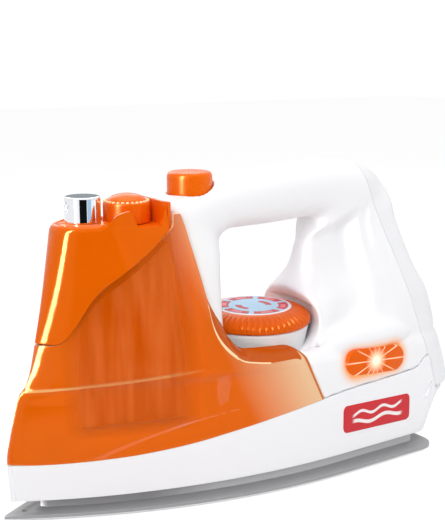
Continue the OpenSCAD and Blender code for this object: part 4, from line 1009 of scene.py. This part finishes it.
# %% Core and deck
core_front_share = 0.387
core_low, core_high = 0.17, 0.447
core_gap, core_over = wall + 3 * fit, 2 * wall
deck_low, deck_high, deck_gap = 0.18, 0.422, wall + 2 * fit
side_from, corner_from, rear_from = 0.2, 0.75, 0.87
heel_round_share = 0.35
tail_line = smooth_line([[up, back] for back, up in shell_head_shares[:26:-1]])
deck_line = smooth_line([[0.18, 0], [0.228, 0], [0.279, 0], [0.33, 0], [0.381, 0.06], [0.4, 0.24],
                         [0.414, 0.55], [0.422, 1]])


def tail_at(z):
    return total_l * tail_line(z / body_h)


def closed_loft(name, across, along, spot):
    """A ring of points carried along, welded where it meets itself and closed at both ends."""
    piece = sheet_of(name, across, along, spot)
    weld(piece, fill=True, outward=True)
    return piece


def core_spot(u, v):
    """Round the core at one height: near side front to back, then the far side."""
    z = body_h * (core_low + (core_high - core_low) * v)
    front = core_front_share * total_l
    along, side = four_sides(u)
    back = front + (tail_at(z) + core_over - front) * along
    w = form_w(back - nose_at(z), z) - core_gap - ledge_w * rolled_share(back, z + core_gap)
    return place(back), side * w, z


def deck_spot(u, v):
    """Round the deck: front, near side, rounded heel, far side."""
    share = deck_low + (deck_high - deck_low) * (1 - (1 - v) ** 1.6)
    z = body_h * share
    front = tail_at(z) + 2 * fit
    stop = heel_at(z) - heel_corner
    side, way = both_sides(u)
    way = 1 - way
    along = np.clip((way - side_from) / (corner_from - side_from), 0, 1)
    turn = np.clip((way - corner_from) / (rear_from - corner_from), 0, 1) * math.pi / 2
    back = front + (stop - front) * along
    w = form_w(back - nose_at(z), z) - deck_line(share) * ledge_w * (1 + (heel_round_share - 1) * along)
    under = body_h * seam_line(np.minimum(back / total_l, cover_foot[0])) - z
    inset = deck_gap * np.clip(under / (0.6 * mm) + 0.5, 0, 1)
    inset = np.where(z < body_h * cover_foot[1], deck_gap, inset)
    w, stop = w - inset, stop - inset
    back = np.where(way > corner_from, stop + heel_corner * np.sin(turn), np.minimum(back, stop))
    w = np.where(way > corner_from, w - heel_corner * (1 - np.cos(turn)), w)
    w = np.where(way > rear_from, w * (1 - np.clip((way - rear_from) / (1 - rear_from), 0, 1)), w)
    w = np.where(way < side_from, w * np.clip(way / side_from, 0, 1), w)
    return place(back), side * w, z


core = closed_loft("core_loft", 241, 60, core_spot)
rear_deck = closed_loft("deck_loft", 301, 60, deck_spot)

# %% [markdown]
# The handle is a ring of stations. Each gives the inner and the outer point of its section, a
# width, the share of the depth where it is widest and how square it is. The section of the rear
# pillar has a valley and two rims, so it has a line of its own, and another one at its foot.

# %% Handle
loop_shares = [
    [0.445, 0.381, 0.391, 0.381, 0.571, 0.5, 2.6],
    [0.44, 0.457, 0.379, 0.457, 0.551, 0.5, 2.6],
    [0.436, 0.539, 0.358, 0.539, 0.541, 0.5, 2.6],
    [0.438, 0.635, 0.346, 0.635, 0.51, 0.5, 2.6],
    [0.446, 0.742, 0.334, 0.761, 0.439, 0.5, 2.6],
    [0.453, 0.777, 0.328, 0.895, 0.357, 0.5, 2.6],
    [0.464, 0.796, 0.399, 0.947, 0.333, 0.5, 2.5],
    [0.49, 0.806, 0.46, 0.966, 0.316, 0.5, 2.4],
    [0.555, 0.806, 0.551, 0.982, 0.306, 0.5, 2.3],
    [0.646, 0.811, 0.65, 0.995, 0.306, 0.5, 2.3],
    [0.686, 0.816, 0.729, 1, 0.316, 0.5, 2.3],
    [0.696, 0.806, 0.802, 0.99, 0.333, 0.5, 2.3],
    [0.694, 0.784, 0.852, 0.961, 0.343, 0.5, 2.4],
    [0.682, 0.749, 0.883, 0.901, 0.357, 0.5, 2.5],
    [0.67, 0.698, 0.891, 0.812, 0.418, 0.52, 2.7],
    [0.662, 0.647, 0.905, 0.723, 0.51, 0.54, 3],
    [0.646, 0.59, 0.925, 0.635, 0.602, 0.55, 3.3],
    [0.623, 0.533, 0.953, 0.552, 0.68, 0.55, 3.7],
    [0.587, 0.476, 0.968, 0.476, 0.724, 0.52, 4],
    [0.553, 0.419, 0.973, 0.419, 0.755, 0.5, 4.2],
    [0.575, 0.37, 0.972, 0.37, 0.75, 0.5, 4.2]]
loop_lines = lines_of(loop_shares)
# Sections of the rear pillar: depth from its inner face, and width as a share of the full width.
pillar_line = smooth_line([[0, 0], [0.012, 0.15], [0.04, 0.28], [0.09, 0.4], [0.15, 0.47], [0.21, 0.49],
                           [0.3, 0.45], [0.38, 0.43], [0.45, 0.52], [0.51, 0.83], [0.53, 0.9], [0.55, 0.885],
                           [0.6, 0.89], [0.63, 0.98], [0.65, 1], [0.68, 0.985], [0.8, 1], [0.88, 1],
                           [0.95, 0.9], [0.99, 0.55], [1, 0]])
foot_line = smooth_line([[0, 0], [0.012, 0.3], [0.04, 0.5], [0.09, 0.66], [0.15, 0.74], [0.21, 0.76],
                         [0.3, 0.7], [0.38, 0.66], [0.45, 0.7], [0.51, 0.88], [0.53, 0.92], [0.55, 0.91],
                         [0.6, 0.92], [0.63, 0.98], [0.65, 1], [0.8, 1], [0.88, 1], [0.95, 0.9], [0.99, 0.55],
                         [1, 0]])
# Stations between which the pillar's section and the foot's take over.
pillar_part = smooth_line([[0, 0], [12.4, 0], [13.7, 1], [20, 1]])
foot_part = smooth_line([[0, 0], [15, 0], [17, 1], [20, 1]])


def squared(wave, square):
    """A sine or cosine pushed outwards, so that a circle becomes a rounded square."""
    return np.sign(wave) * np.abs(wave) ** (2 / square)


def loop_spot(u, v):
    """Round the handle's section at one station, from its inner point over the near side."""
    i = v * (len(loop_shares) - 1)
    ax, az, bx, bz, w, widest, square = (line(i) for line in loop_lines)
    turn = 2 * math.pi * u
    deep, wide = squared(np.cos(turn), square), squared(np.sin(turn), square)
    share = np.where(deep < 0, widest * (1 + deep), widest + (1 - widest) * deep)
    even = 0.5 + 0.5 * np.cos(turn)
    part, foot = pillar_part(i), foot_part(i)
    share = share * (1 - part) + even * part
    section = pillar_line(even) * (1 - foot) + foot_line(even) * foot
    wide = wide * (1 - part) + np.sign(np.sin(turn)) * section * part
    back = total_l * (ax + (bx - ax) * share)
    return place(back), -half_w * w * wide, body_h * (az + (bz - az) * share)


loop = closed_loft("handle_loft", 161, 260, loop_spot)

# %% Join the lofts to one skin
skin_grain = 0.8 * mm
brims = [ball("brim", (place(194 * mm), side * 31.5 * mm, 66 * mm), (31 * mm, 10 * mm, 9 * mm))
         for side in (-1, 1)]
skin = join([core, rear_deck, loop] + brims, "body_left_form")
lofts = twin(skin, "lofts")
apply_modifier(skin, "REMESH", mode="VOXEL", voxel_size=skin_grain, adaptivity=0.0)
apply_modifier(skin, "SHRINKWRAP", target=lofts, wrap_method="NEAREST_SURFACEPOINT",
               wrap_mode="ON_SURFACE")
bpy.data.objects.remove(lofts)
print("body skin faces", len(skin.data.polygons))

# %% Cut the button's seat and smooth the skin
pump_back, button_r = 102.7 * mm, 11.2 * mm
dial_back, dial_r, dial_z = 141.7 * mm, 30 * mm, 75.6 * mm
seat_front_z, seat_rear_z, seat_reach = 137.2 * mm, 144.8 * mm, 15 * mm
seat_tool = round_bar("button_seat", pump_back, 0, 2 * button_r, button_r + 0.5 * mm)
for v in seat_tool.data.vertices:
    if v.co.z < button_r:
        along = (v.co.x - place(pump_back)) / (2 * seat_reach) + 0.5
        v.co.z = seat_front_z + (seat_rear_z - seat_front_z) * along
    else:
        v.co.z = body_h + button_r
carve(skin, seat_tool)


def melt(piece, rule, passes):
    """Smooths one region of a skin, so that what meets there flows together."""
    spots = np.empty(3 * len(piece.data.vertices))
    piece.data.vertices.foreach_get("co", spots)
    weights = rule(*spots.reshape(-1, 3).T)
    group = piece.vertex_groups.new(name="melt")
    for level in range(1, 11):
        near = np.flatnonzero(np.round(weights * 10) == level)
        if len(near):
            group.add(near.tolist(), level / 10, "REPLACE")
    apply_modifier(piece, "SMOOTH", factor=0.5, iterations=passes, vertex_group="melt")
    piece.vertex_groups.clear()


def heel_blend(x, y, z):
    """The foot of the rear pillar and the edge of the deck round it."""
    back = x + total_l / 2
    rise = np.clip((z - 60 * mm) / (6 * mm), 0, 1) * np.clip((116 * mm - z) / (14 * mm), 0, 1)
    reach = np.clip((back - 138 * mm) / (10 * mm), 0, 1) * np.clip((216 * mm - back) / (12 * mm), 0, 1)
    return rise * reach


carve(skin, ball("dial_niche", (place(dial_back), 0, 75 * mm), (34 * mm, 34 * mm, 19 * mm)))
for side in (-1, 1):
    carve(skin, ball("bowl", (place(172 * mm), side * 44 * mm, 86 * mm), (22 * mm, 20 * mm, 13 * mm)))
melt(skin, heel_blend, 200)
apply_modifier(skin, "SMOOTH", factor=0.5, iterations=6)

# %% Cut the body along its seams
button_hole_z = 130 * mm
carve(skin, round_bar("button_hole", pump_back, button_hole_z, body_h + button_r, button_r + fit))
carve(skin, round_bar("dial_room", dial_back, core_high * body_h + 0.2 * mm, dial_z + 9 * mm,
                      dial_r + 2 * fit))
seam_gap, far = 0.12 * mm, 0.3
cover_low = Vector((place(cover_foot[0] * total_l), 0, cover_foot[1] * body_h))
cover_high = Vector((place(0.801 * total_l), 0, 0.99 * body_h))
lean = cover_high - cover_low


def behind_seam(name, gap):
    """A slab that holds everything behind the seam of the rear cover."""
    made = block(name, (0, -far, -far), (far, far, far))
    turn = Matrix.Rotation(math.atan2(lean.x, lean.z), 4, "Y")
    made.data.transform(Matrix.Translation(cover_low + Vector((gap, 0, 0))) @ turn)
    return made


rear = twin(skin, "rear_cover_form")
carve(rear, behind_seam("rear_room", seam_gap), "INTERSECT")
carve(skin, behind_seam("front_room", -seam_gap))
right_half = twin(skin, "body_right_form")
carve(skin, block("left_room", (-far, -far, -far), (far, -seam_gap / 2, far)), "INTERSECT")
carve(right_half, block("right_room", (-far, seam_gap / 2, -far), (far, far, far)), "INTERSECT")
for half, node in ((skin, "body_left"), (right_half, "body_right")):
    soften(half, 40)
    finish_piece(half, white_plastic, "iron", "white", node)

# %% Battery door
door_z, door_h, door_side = 38.5 * mm, 36 * mm, 29 * mm
door_low, door_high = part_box("battery_door")
door_in, door_out, door_top = door_low.x - 1 * mm, door_high.x + 10 * mm, door_z + door_h
door = twin(rear, "battery_door_form")
carve(door, block("door_room", (door_in, fit - door_side, door_z + fit),
                  (door_out, door_side - fit, door_top - fit)), "INTERSECT")
carve(rear, block("door_hole", (door_in - fit, -door_side, door_z), (door_out, door_side, door_top)))
soften(rear, 40)
soften(door, 40)
finish_piece(rear, cover_plastic, "iron", "white", "rear_cover")
finish_piece(door, cover_plastic, "door", "white", "battery_door")

# %% [markdown]
# ## Sole plate
# The sole is a flat flange with a plateau on it and a thin lip below. The frame holds it as an
# exact solid, so a merged copy of that solid is bevelled, which gives each edge the thin bright
# line of a moulded part.

# %% Model the sole plate
def copy_of(node, name):
    """A copy of a frame node's mesh, merged so that modifiers see whole faces."""
    piece = twin(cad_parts[node], name)
    weld(piece, 0.002 * mm)
    only(piece)
    bpy.ops.object.mode_set(mode="EDIT")
    bpy.ops.mesh.select_all(action="SELECT")
    bpy.ops.mesh.dissolve_limited(angle_limit=math.radians(1))
    bpy.ops.object.mode_set(mode="OBJECT")
    return piece


def bevelled(node, name, width, segments=2, angle=35):
    piece = copy_of(node, name)
    round_edges(piece, width, segments, angle)
    soften(piece)
    return piece


sole = bevelled("sole_plate", "sole_form", 0.4 * mm)
finish_piece(sole, sole_grey, "iron", "grey_sole", "sole_plate")

# %% [markdown]
# ## Dial
# The dial is a thick orange knob whose ribs fade out over a rounded shoulder. Once round, the
# profile is carried with a small wave for the ribs, stronger at the rim than on the shoulder.
# A white seat stands under it, and a printed disc lies in its top.

# %% Model the dial
dial_face = dial_z + 8 * mm
dial_ribs, rib_depth, rib_columns = 56, 0.75 * mm, 12
dial_profile = [[0.0, 0.0], [19.6, 0.0], [20.4, -0.05], [21.6, -0.25], [23.4, -0.7], [25.4, -1.35],
                [27.2, -2.2], [28.6, -3.2], [29.5, -4.3], [29.9, -5.4], [29.9, -7.0], [29.7, -7.6],
                [29.1, -8.0], [27.5, -8.0], [0.0, -8.0]]
dial_out, dial_down = lines_of(dial_profile)


def dial_spot(u, v):
    i = v * (len(dial_profile) - 1)
    r, down = dial_out(i) * mm, dial_down(i) * mm
    turn = 2 * math.pi * u
    fade = np.clip((r - 22 * mm) / (5 * mm), 0, 1) * np.clip((down + 8.0 * mm) / (0.5 * mm), 0, 1)
    shallow = 1 - 0.6 * np.clip(-down / (4.5 * mm) - 0.6, 0, 1)
    groove = np.clip(np.sin(dial_ribs * turn) - 0.1, 0, 1) ** 0.7 * shallow
    deep = rib_depth * fade * groove
    r = r - deep
    return place(dial_back) + r * np.cos(turn), r * np.sin(turn), dial_face + down - 0.6 * deep


dial = sheet_of("dial_form", dial_ribs * rib_columns + 1, 57, dial_spot)
weld(dial, outward=True)
soften(dial, 45)
finish_piece(dial, dial_plastic, "dial", "orange", "steam_dial")

# %% [markdown]
# ## Caps and button
# The filler cap is a cup with a low dome and a ring of beads. The button is a plain cap with a
# rounded edge. Both are turned from a profile, as the dial is, so their edges are truly round.

# %% Turn a profile into a piece
def turned(name, profile, back, high, count=96):
    """Spins a profile of radius and height, in millimetres, about an upright axis."""
    out, up = lines_of(profile)

    def spot(u, v):
        i = v * (len(profile) - 1)
        turn = 2 * math.pi * u
        r = out(i) * mm
        return place(back) + r * np.cos(turn), r * np.sin(turn), high + up(i) * mm

    piece = sheet_of(name, count + 1, 4 * len(profile) + 1, spot)
    weld(piece, outward=True)
    soften(piece, 40)
    return piece


button_top, cap_foot = 157 * mm, hood_deck_z + fit
cap_rim = cap_foot + 10 * mm
seat = turned("seat_form", [
    [0, 0], [10, 0], [27, 0], [28.2, -0.1], [28.7, -0.5], [28.8, -1.2], [28.5, -3], [27.9, -6],
    [27.2, -10], [26.8, -13], [20, -13], [0, -13]], dial_back, dial_z - fit)
finish_piece(seat, seat_plastic, "iron", "white", "dial_seat")
button = turned("button_form", [
    [0, 0.25], [4, 0.2], [8.0, 0.0], [9.2, -0.1], [9.9, -0.35], [10.5, -0.8], [10.9, -1.4],
    [11.1, -2.2], [11.2, -3.2], [11.2, -10], [11.2, -18.4], [11.1, -18.8], [10.8, -19],
    [9.6, -19], [0, -19]], pump_back, button_top)
finish_piece(button, orange_plastic, "pump", "orange", "pump_button")
filler = turned("filler_body", [
    [0, 3.3], [3, 3.2], [6, 2.5], [8, 1.5], [9.0, 0.7], [9.5, 0.15], [9.9, -0.2], [10.4, -0.15],
    [10.8, -0.3], [11.1, -0.9], [11.2, -1.8], [11.2, -6], [11.2, -9.6], [10.9, -10],
    [9, -10], [0, -10]], filler_back, cap_rim)

# %% Add the plug and the ring of beads to the filler cap
filler_beads, bead_ring, bead_r = 28, 10.1 * mm, 0.8 * mm
plug = round_bar("filler_plug", filler_back, cap_foot - 7 * mm, cap_foot + 1 * mm, 6.9 * mm, 64)
filler.data.materials.append(orange_plastic)
plug.data.materials.append(orange_plastic)
beads = []
for i in range(filler_beads):
    turn = 2 * math.pi * i / filler_beads
    spot = (place(filler_back) + bead_ring * math.cos(turn), bead_ring * math.sin(turn), cap_rim - 0.05 * mm)
    bead = primitive(bpy.ops.mesh.primitive_uv_sphere_add, "bead", spot, (1, 1, 0.8),
                     segments=12, ring_count=6, radius=bead_r)
    # Each bead gets the painted highlight colour, a glint on the ring.
    bead.data.materials.append(painted_highlight_orange)
    beads.append(bead)
filler = join([filler, plug] + beads, "filler_form")
soften(filler, 40)
finish_piece(filler, orange_plastic, "cap", "orange", "filler_cap", more=(painted_highlight_orange,))

# %% [markdown]
# ## Spray nozzle
# The chrome cap is a thin bright cup with a round mouth that faces forwards. Its metal has
# hardly any roughness, so it mirrors the cards. A white insert with the jet stands inside.

# %% Model the chrome cap
def metal(name, colour, gloss):
    made, tree, shader, grain = start_material(name, Colour=linear(*colour), Gloss=gloss, Cloud=0.03,
                                               Ripple=0.0)
    shader.inputs["Metallic"].default_value = 1.0
    return made


chrome = metal("chrome", (232, 234, 238), 0.05)
screw_steel = metal("screw_steel", (176, 176, 178), 0.28)
nozzle_back, nozzle_r, nozzle_h = 44.5 * mm, 8.4 * mm, 12 * mm
nozzle_z = hood_deck_z + platform_h
jet_z = nozzle_z + nozzle_h * 0.62
nozzle = turned("nozzle_form", [
    [0, 0.0], [6, 0.0], [7.4, 0.0], [7.9, -0.1], [8.2, -0.35], [8.35, -0.7], [8.4, -1.2], [8.4, -5],
    [8.4, -11.6], [8.35, -11.85], [8.1, -12], [7.3, -12], [7.2, -11.6], [7.2, -5],
    [7.2, -1.6], [6.8, -1.2], [0, -1.2]], nozzle_back, nozzle_z + nozzle_h, count=128)
mouth = primitive(bpy.ops.mesh.primitive_cylinder_add, "mouth", (place(nozzle_back) - nozzle_r, 0, jet_z),
                  rotation=(0, math.pi / 2, 0), vertices=64, radius=2.5 * mm, depth=8 * mm)
carve(nozzle, mouth)
soften(nozzle, 40)
finish_piece(nozzle, chrome, "iron", "chrome", "nozzle_cap")

# %% [markdown]
# ## Lamp
# A clear orange pill shines in each side of the heel. It is lit from behind, so its middle is
# white-hot and fine rays run out from it. A node group works out the glow and the rays from the
# distance and the angle round the middle of the lamp, and both the lens and the white body
# around it use it.

# %% Build the lamp glow group
lamp_back, lamp_z, lamp_l, lamp_h = 192 * mm, 55.2 * mm, 40 * mm, 14 * mm
core_reach, halo_reach = 7.5 * mm, 6.2 * mm


def glow_group():
    group, out = new_group("lamp_glow", ("Core", "Rays", "Halo"))
    axes = axes_of(group)
    x = calc(group, "SUBTRACT", axes["X"], place(lamp_back))
    z = calc(group, "SUBTRACT", axes["Z"], lamp_z)
    far_out = length(group, x, z)
    turn = calc(group, "ARCTAN2", z, x)
    core_fall = calc(group, "DIVIDE", far_out, core_reach)
    core = calc(group, "POWER", calc(group, "SUBTRACT", 1.0, core_fall, clamp=True), 1.4)
    wave = calc(group, "COSINE", calc(group, "MULTIPLY_ADD", turn, 7.0, 0.5))
    spoke = calc(group, "POWER", calc(group, "ABSOLUTE", wave), 90.0)
    slow = calc(group, "COSINE", calc(group, "MULTIPLY_ADD", turn, 2.0, -0.7))
    reach = calc(group, "MULTIPLY_ADD", slow, 8 * mm, 17 * mm)
    fall = calc(group, "SUBTRACT", 1.0, calc(group, "DIVIDE", far_out, reach), clamp=True)
    rays = calc(group, "MULTIPLY", spoke, calc(group, "POWER", fall, 0.6))
    past = calc(group, "SUBTRACT", calc(group, "ABSOLUTE", x), (lamp_l - lamp_h) / 2)
    edge = length(group, calc(group, "MAXIMUM", past, 0.0), z)
    beyond = calc(group, "SUBTRACT", edge, lamp_h / 2)
    halo = calc(group, "SUBTRACT", 1.0, calc(group, "DIVIDE", beyond, halo_reach), clamp=True)
    outside = remap(group, calc(group, "ABSOLUTE", axes["Y"]), 34 * mm, 36.5 * mm)
    halo = calc(group, "POWER", calc(group, "MULTIPLY", halo, outside), 2.0)
    for name, value in (("Core", core), ("Rays", rays), ("Halo", halo)):
        feed(group, value, out.inputs[name])
    return group


lamp_glow = glow_group()
print("group", lamp_glow.name)

# %% Model the lenses
lens_orange = plastic("lamp_lens", (236, 96, 4), gloss=0.14, cloud=0.1, ripple=0.05, tint=warm)
lens_tree = lens_orange.node_tree
lens_shader = lens_tree.nodes["Principled BSDF"]
lens_glow = use_group(lens_tree, lamp_glow).outputs
lit = calc(lens_tree, "MAXIMUM", lens_glow["Core"], lens_glow["Rays"])
lit_colour = blend(lens_tree, (0, 0, 0, 1), (1.0, 0.86, 0.66, 1), lit)
lens_tree.links.new(lit_colour, lens_shader.inputs["Emission Color"])
lens_shader.inputs["Emission Strength"].default_value = 1.6
# Painted light: the lamp's warm glow is painted on the white plastic round it.
paint_over(white_plastic, (255, 176, 110), use_group(white_plastic.node_tree, lamp_glow).outputs["Halo"])
for side in ("left", "right"):
    lens = bevelled("lamp_lens_" + side, "lens_form_" + side, 0.6 * mm, segments=3, angle=40)
    finish_piece(lens, lens_orange, "iron", "lamp", "lamp_lens_" + side)

# %% [markdown]
# ## Printed parts
# The disc on the dial is pale blue with a white border and a plain red scale. The badge on the
# side is red with plain white waves. Both patterns are worked out from Object coordinates.

# %% Draw the disc of the dial
def printed(name, gloss, draw):
    """A material whose colour is drawn on its tree by a rule."""
    made = bpy.data.materials.new(name)
    made.use_nodes = True
    tree = made.node_tree
    shader = tree.nodes["Principled BSDF"]
    shader.inputs["Roughness"].default_value = gloss
    tree.links.new(draw(tree), shader.inputs["Base Color"])
    return made


def draw_disc(tree):
    """A white border, then marks: from and to a radius, where a wave lies between two values."""
    axes = axes_of(tree)
    x = calc(tree, "SUBTRACT", axes["X"], place(dial_back))
    r = length(tree, x, axes["Y"])
    turn = calc(tree, "ARCTAN2", axes["Y"], x)
    sector = calc(tree, "ABSOLUTE", calc(tree, "SINE", calc(tree, "MULTIPLY_ADD", turn, 3.0, 0.5)))
    arc = calc(tree, "ABSOLUTE", calc(tree, "SINE", turn))
    soft, red, pale = 0.3 * mm, linear(196, 22, 44), linear(238, 120, 130)
    border = band(tree, r, 18.6 * mm, 30 * mm, soft)
    colour = blend(tree, linear(178, 216, 244), linear(244, 244, 246), border)
    for low, high, wave, least, most, edge, ink in (
            (13.0, 18.3, sector, 0.22, 2.0, 0.06, red),
            (14.2, 17.0, sector, 0.8, 2.0, 0.06, pale),
            (6.2, 9.8, arc, -0.2, 0.62, 0.1, red)):
        ring = band(tree, r, low * mm, high * mm, soft)
        mask = calc(tree, "MULTIPLY", ring, band(tree, wave, least, most, edge))
        colour = blend(tree, colour, ink, mask)
    return colour


disc_look = printed("dial_print", 0.25, draw_disc)
disc = turned("disc_form", [[0, 0.25], [10, 0.25], [19.2, 0.25], [19.7, 0.2], [19.9, 0.05], [19.9, -0.1]],
              dial_back, dial_face, count=128)
finish_piece(disc, disc_look, "dial", "blue_print", "dial_label")

# %% Draw the badge
badge_back, badge_z, badge_l, badge_h = 192.2 * mm, 26.6 * mm, 47 * mm, 14.5 * mm
badge_tilt, badge_proud, badge_t = math.radians(2), 0.35 * mm, 0.3 * mm


def draw_badge(tree):
    """Two waved lines: height, half thickness and how quickly the wave turns."""
    axes = axes_of(tree)
    x = calc(tree, "SUBTRACT", axes["X"], place(badge_back))
    up = calc(tree, "SUBTRACT", axes["Z"], badge_z)
    along = band(tree, x, -badge_l * 0.38, badge_l * 0.38, 2 * mm)
    colour = linear(206, 0, 24)
    for level, tall, waves in ((2.6 * mm, 0.9 * mm, 420.0), (-2.0 * mm, 1.1 * mm, 300.0)):
        wave = calc(tree, "SINE", calc(tree, "MULTIPLY", x, waves))
        line = calc(tree, "MULTIPLY_ADD", wave, 1.1 * mm, level)
        gap = calc(tree, "ABSOLUTE", calc(tree, "SUBTRACT", up, line))
        mask = calc(tree, "MULTIPLY", band(tree, gap, -1.0, tall, 0.3 * mm), along)
        colour = blend(tree, colour, linear(246, 240, 240), mask)
    return colour


def badge_spot(u, v):
    """A rounded rectangle laid on the side of the base."""
    corner = badge_h / 5
    px, pz = (u - 0.5) * badge_l, (v - 0.5) * badge_h
    over_x = np.clip(np.abs(px) - (badge_l / 2 - corner), 0, corner)
    room = badge_h / 2 - corner + np.sqrt(np.maximum(corner ** 2 - over_x ** 2, 0))
    pz = pz * room / (badge_h / 2)
    back = badge_back + px * math.cos(badge_tilt) + pz * math.sin(badge_tilt)
    z = badge_z + pz * math.cos(badge_tilt) - px * math.sin(badge_tilt)
    edge = np.minimum(np.minimum(u, 1 - u) * badge_l, np.minimum(v, 1 - v) * badge_h)
    lift = badge_proud * np.clip(edge / (0.5 * mm), 0.1, 1)
    return place(back), -(form_w(back - nose_at(z), z) + lift), z


badge = sheet_of("badge_form", 95, 41, badge_spot)
thicken(badge, badge_t)
soften(badge, 50)
finish_piece(badge, printed("badge_print", 0.22, draw_badge), "iron", "red_print", "side_label")

# %% [markdown]
# ## Hidden parts
# The parts inside keep the solids of the frame. Each gets a material of its own, so that it
# looks right through the clear shell, from below and when the iron is taken apart.

# %% Dress the hidden parts
lamp_glass = plastic("bulb_glass", (255, 226, 190), gloss=0.15)
rubber = plastic("seal_rubber", (46, 46, 48), gloss=0.6)
clear_tube = plastic("soft_tube", (226, 226, 218), gloss=0.25, alpha=0.7)
circuit = plastic("circuit_green", (34, 110, 62), gloss=0.4, cloud=0.2)
cell_red = plastic("cell_wrap", (176, 40, 34), gloss=0.3, cloud=0.1)
slider_orange = plastic("slider_orange", (238, 100, 4), gloss=0.3, tint=warm)
inside_looks = {
    "door_screw": screw_steel, "return_spring": screw_steel, "battery_contacts": screw_steel,
    "power_switch": slider_orange, "switch_body": hidden_dark, "speaker": hidden_dark,
    "piston_seal": rubber, "filler_seal": rubber, "supply_tube": clear_tube, "spray_tube": clear_tube,
    "circuit_board": circuit, "lamp_bulb_left": lamp_glass, "lamp_bulb_right": lamp_glass,
    "body_screws": screw_steel, "sole_screws": screw_steel, "battery_cells": cell_red}
for node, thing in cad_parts.items():
    thing.data.materials.clear()
    thing.data.materials.append(inside_looks.get(node, hidden_white))
print("hidden parts dressed:", len(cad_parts))
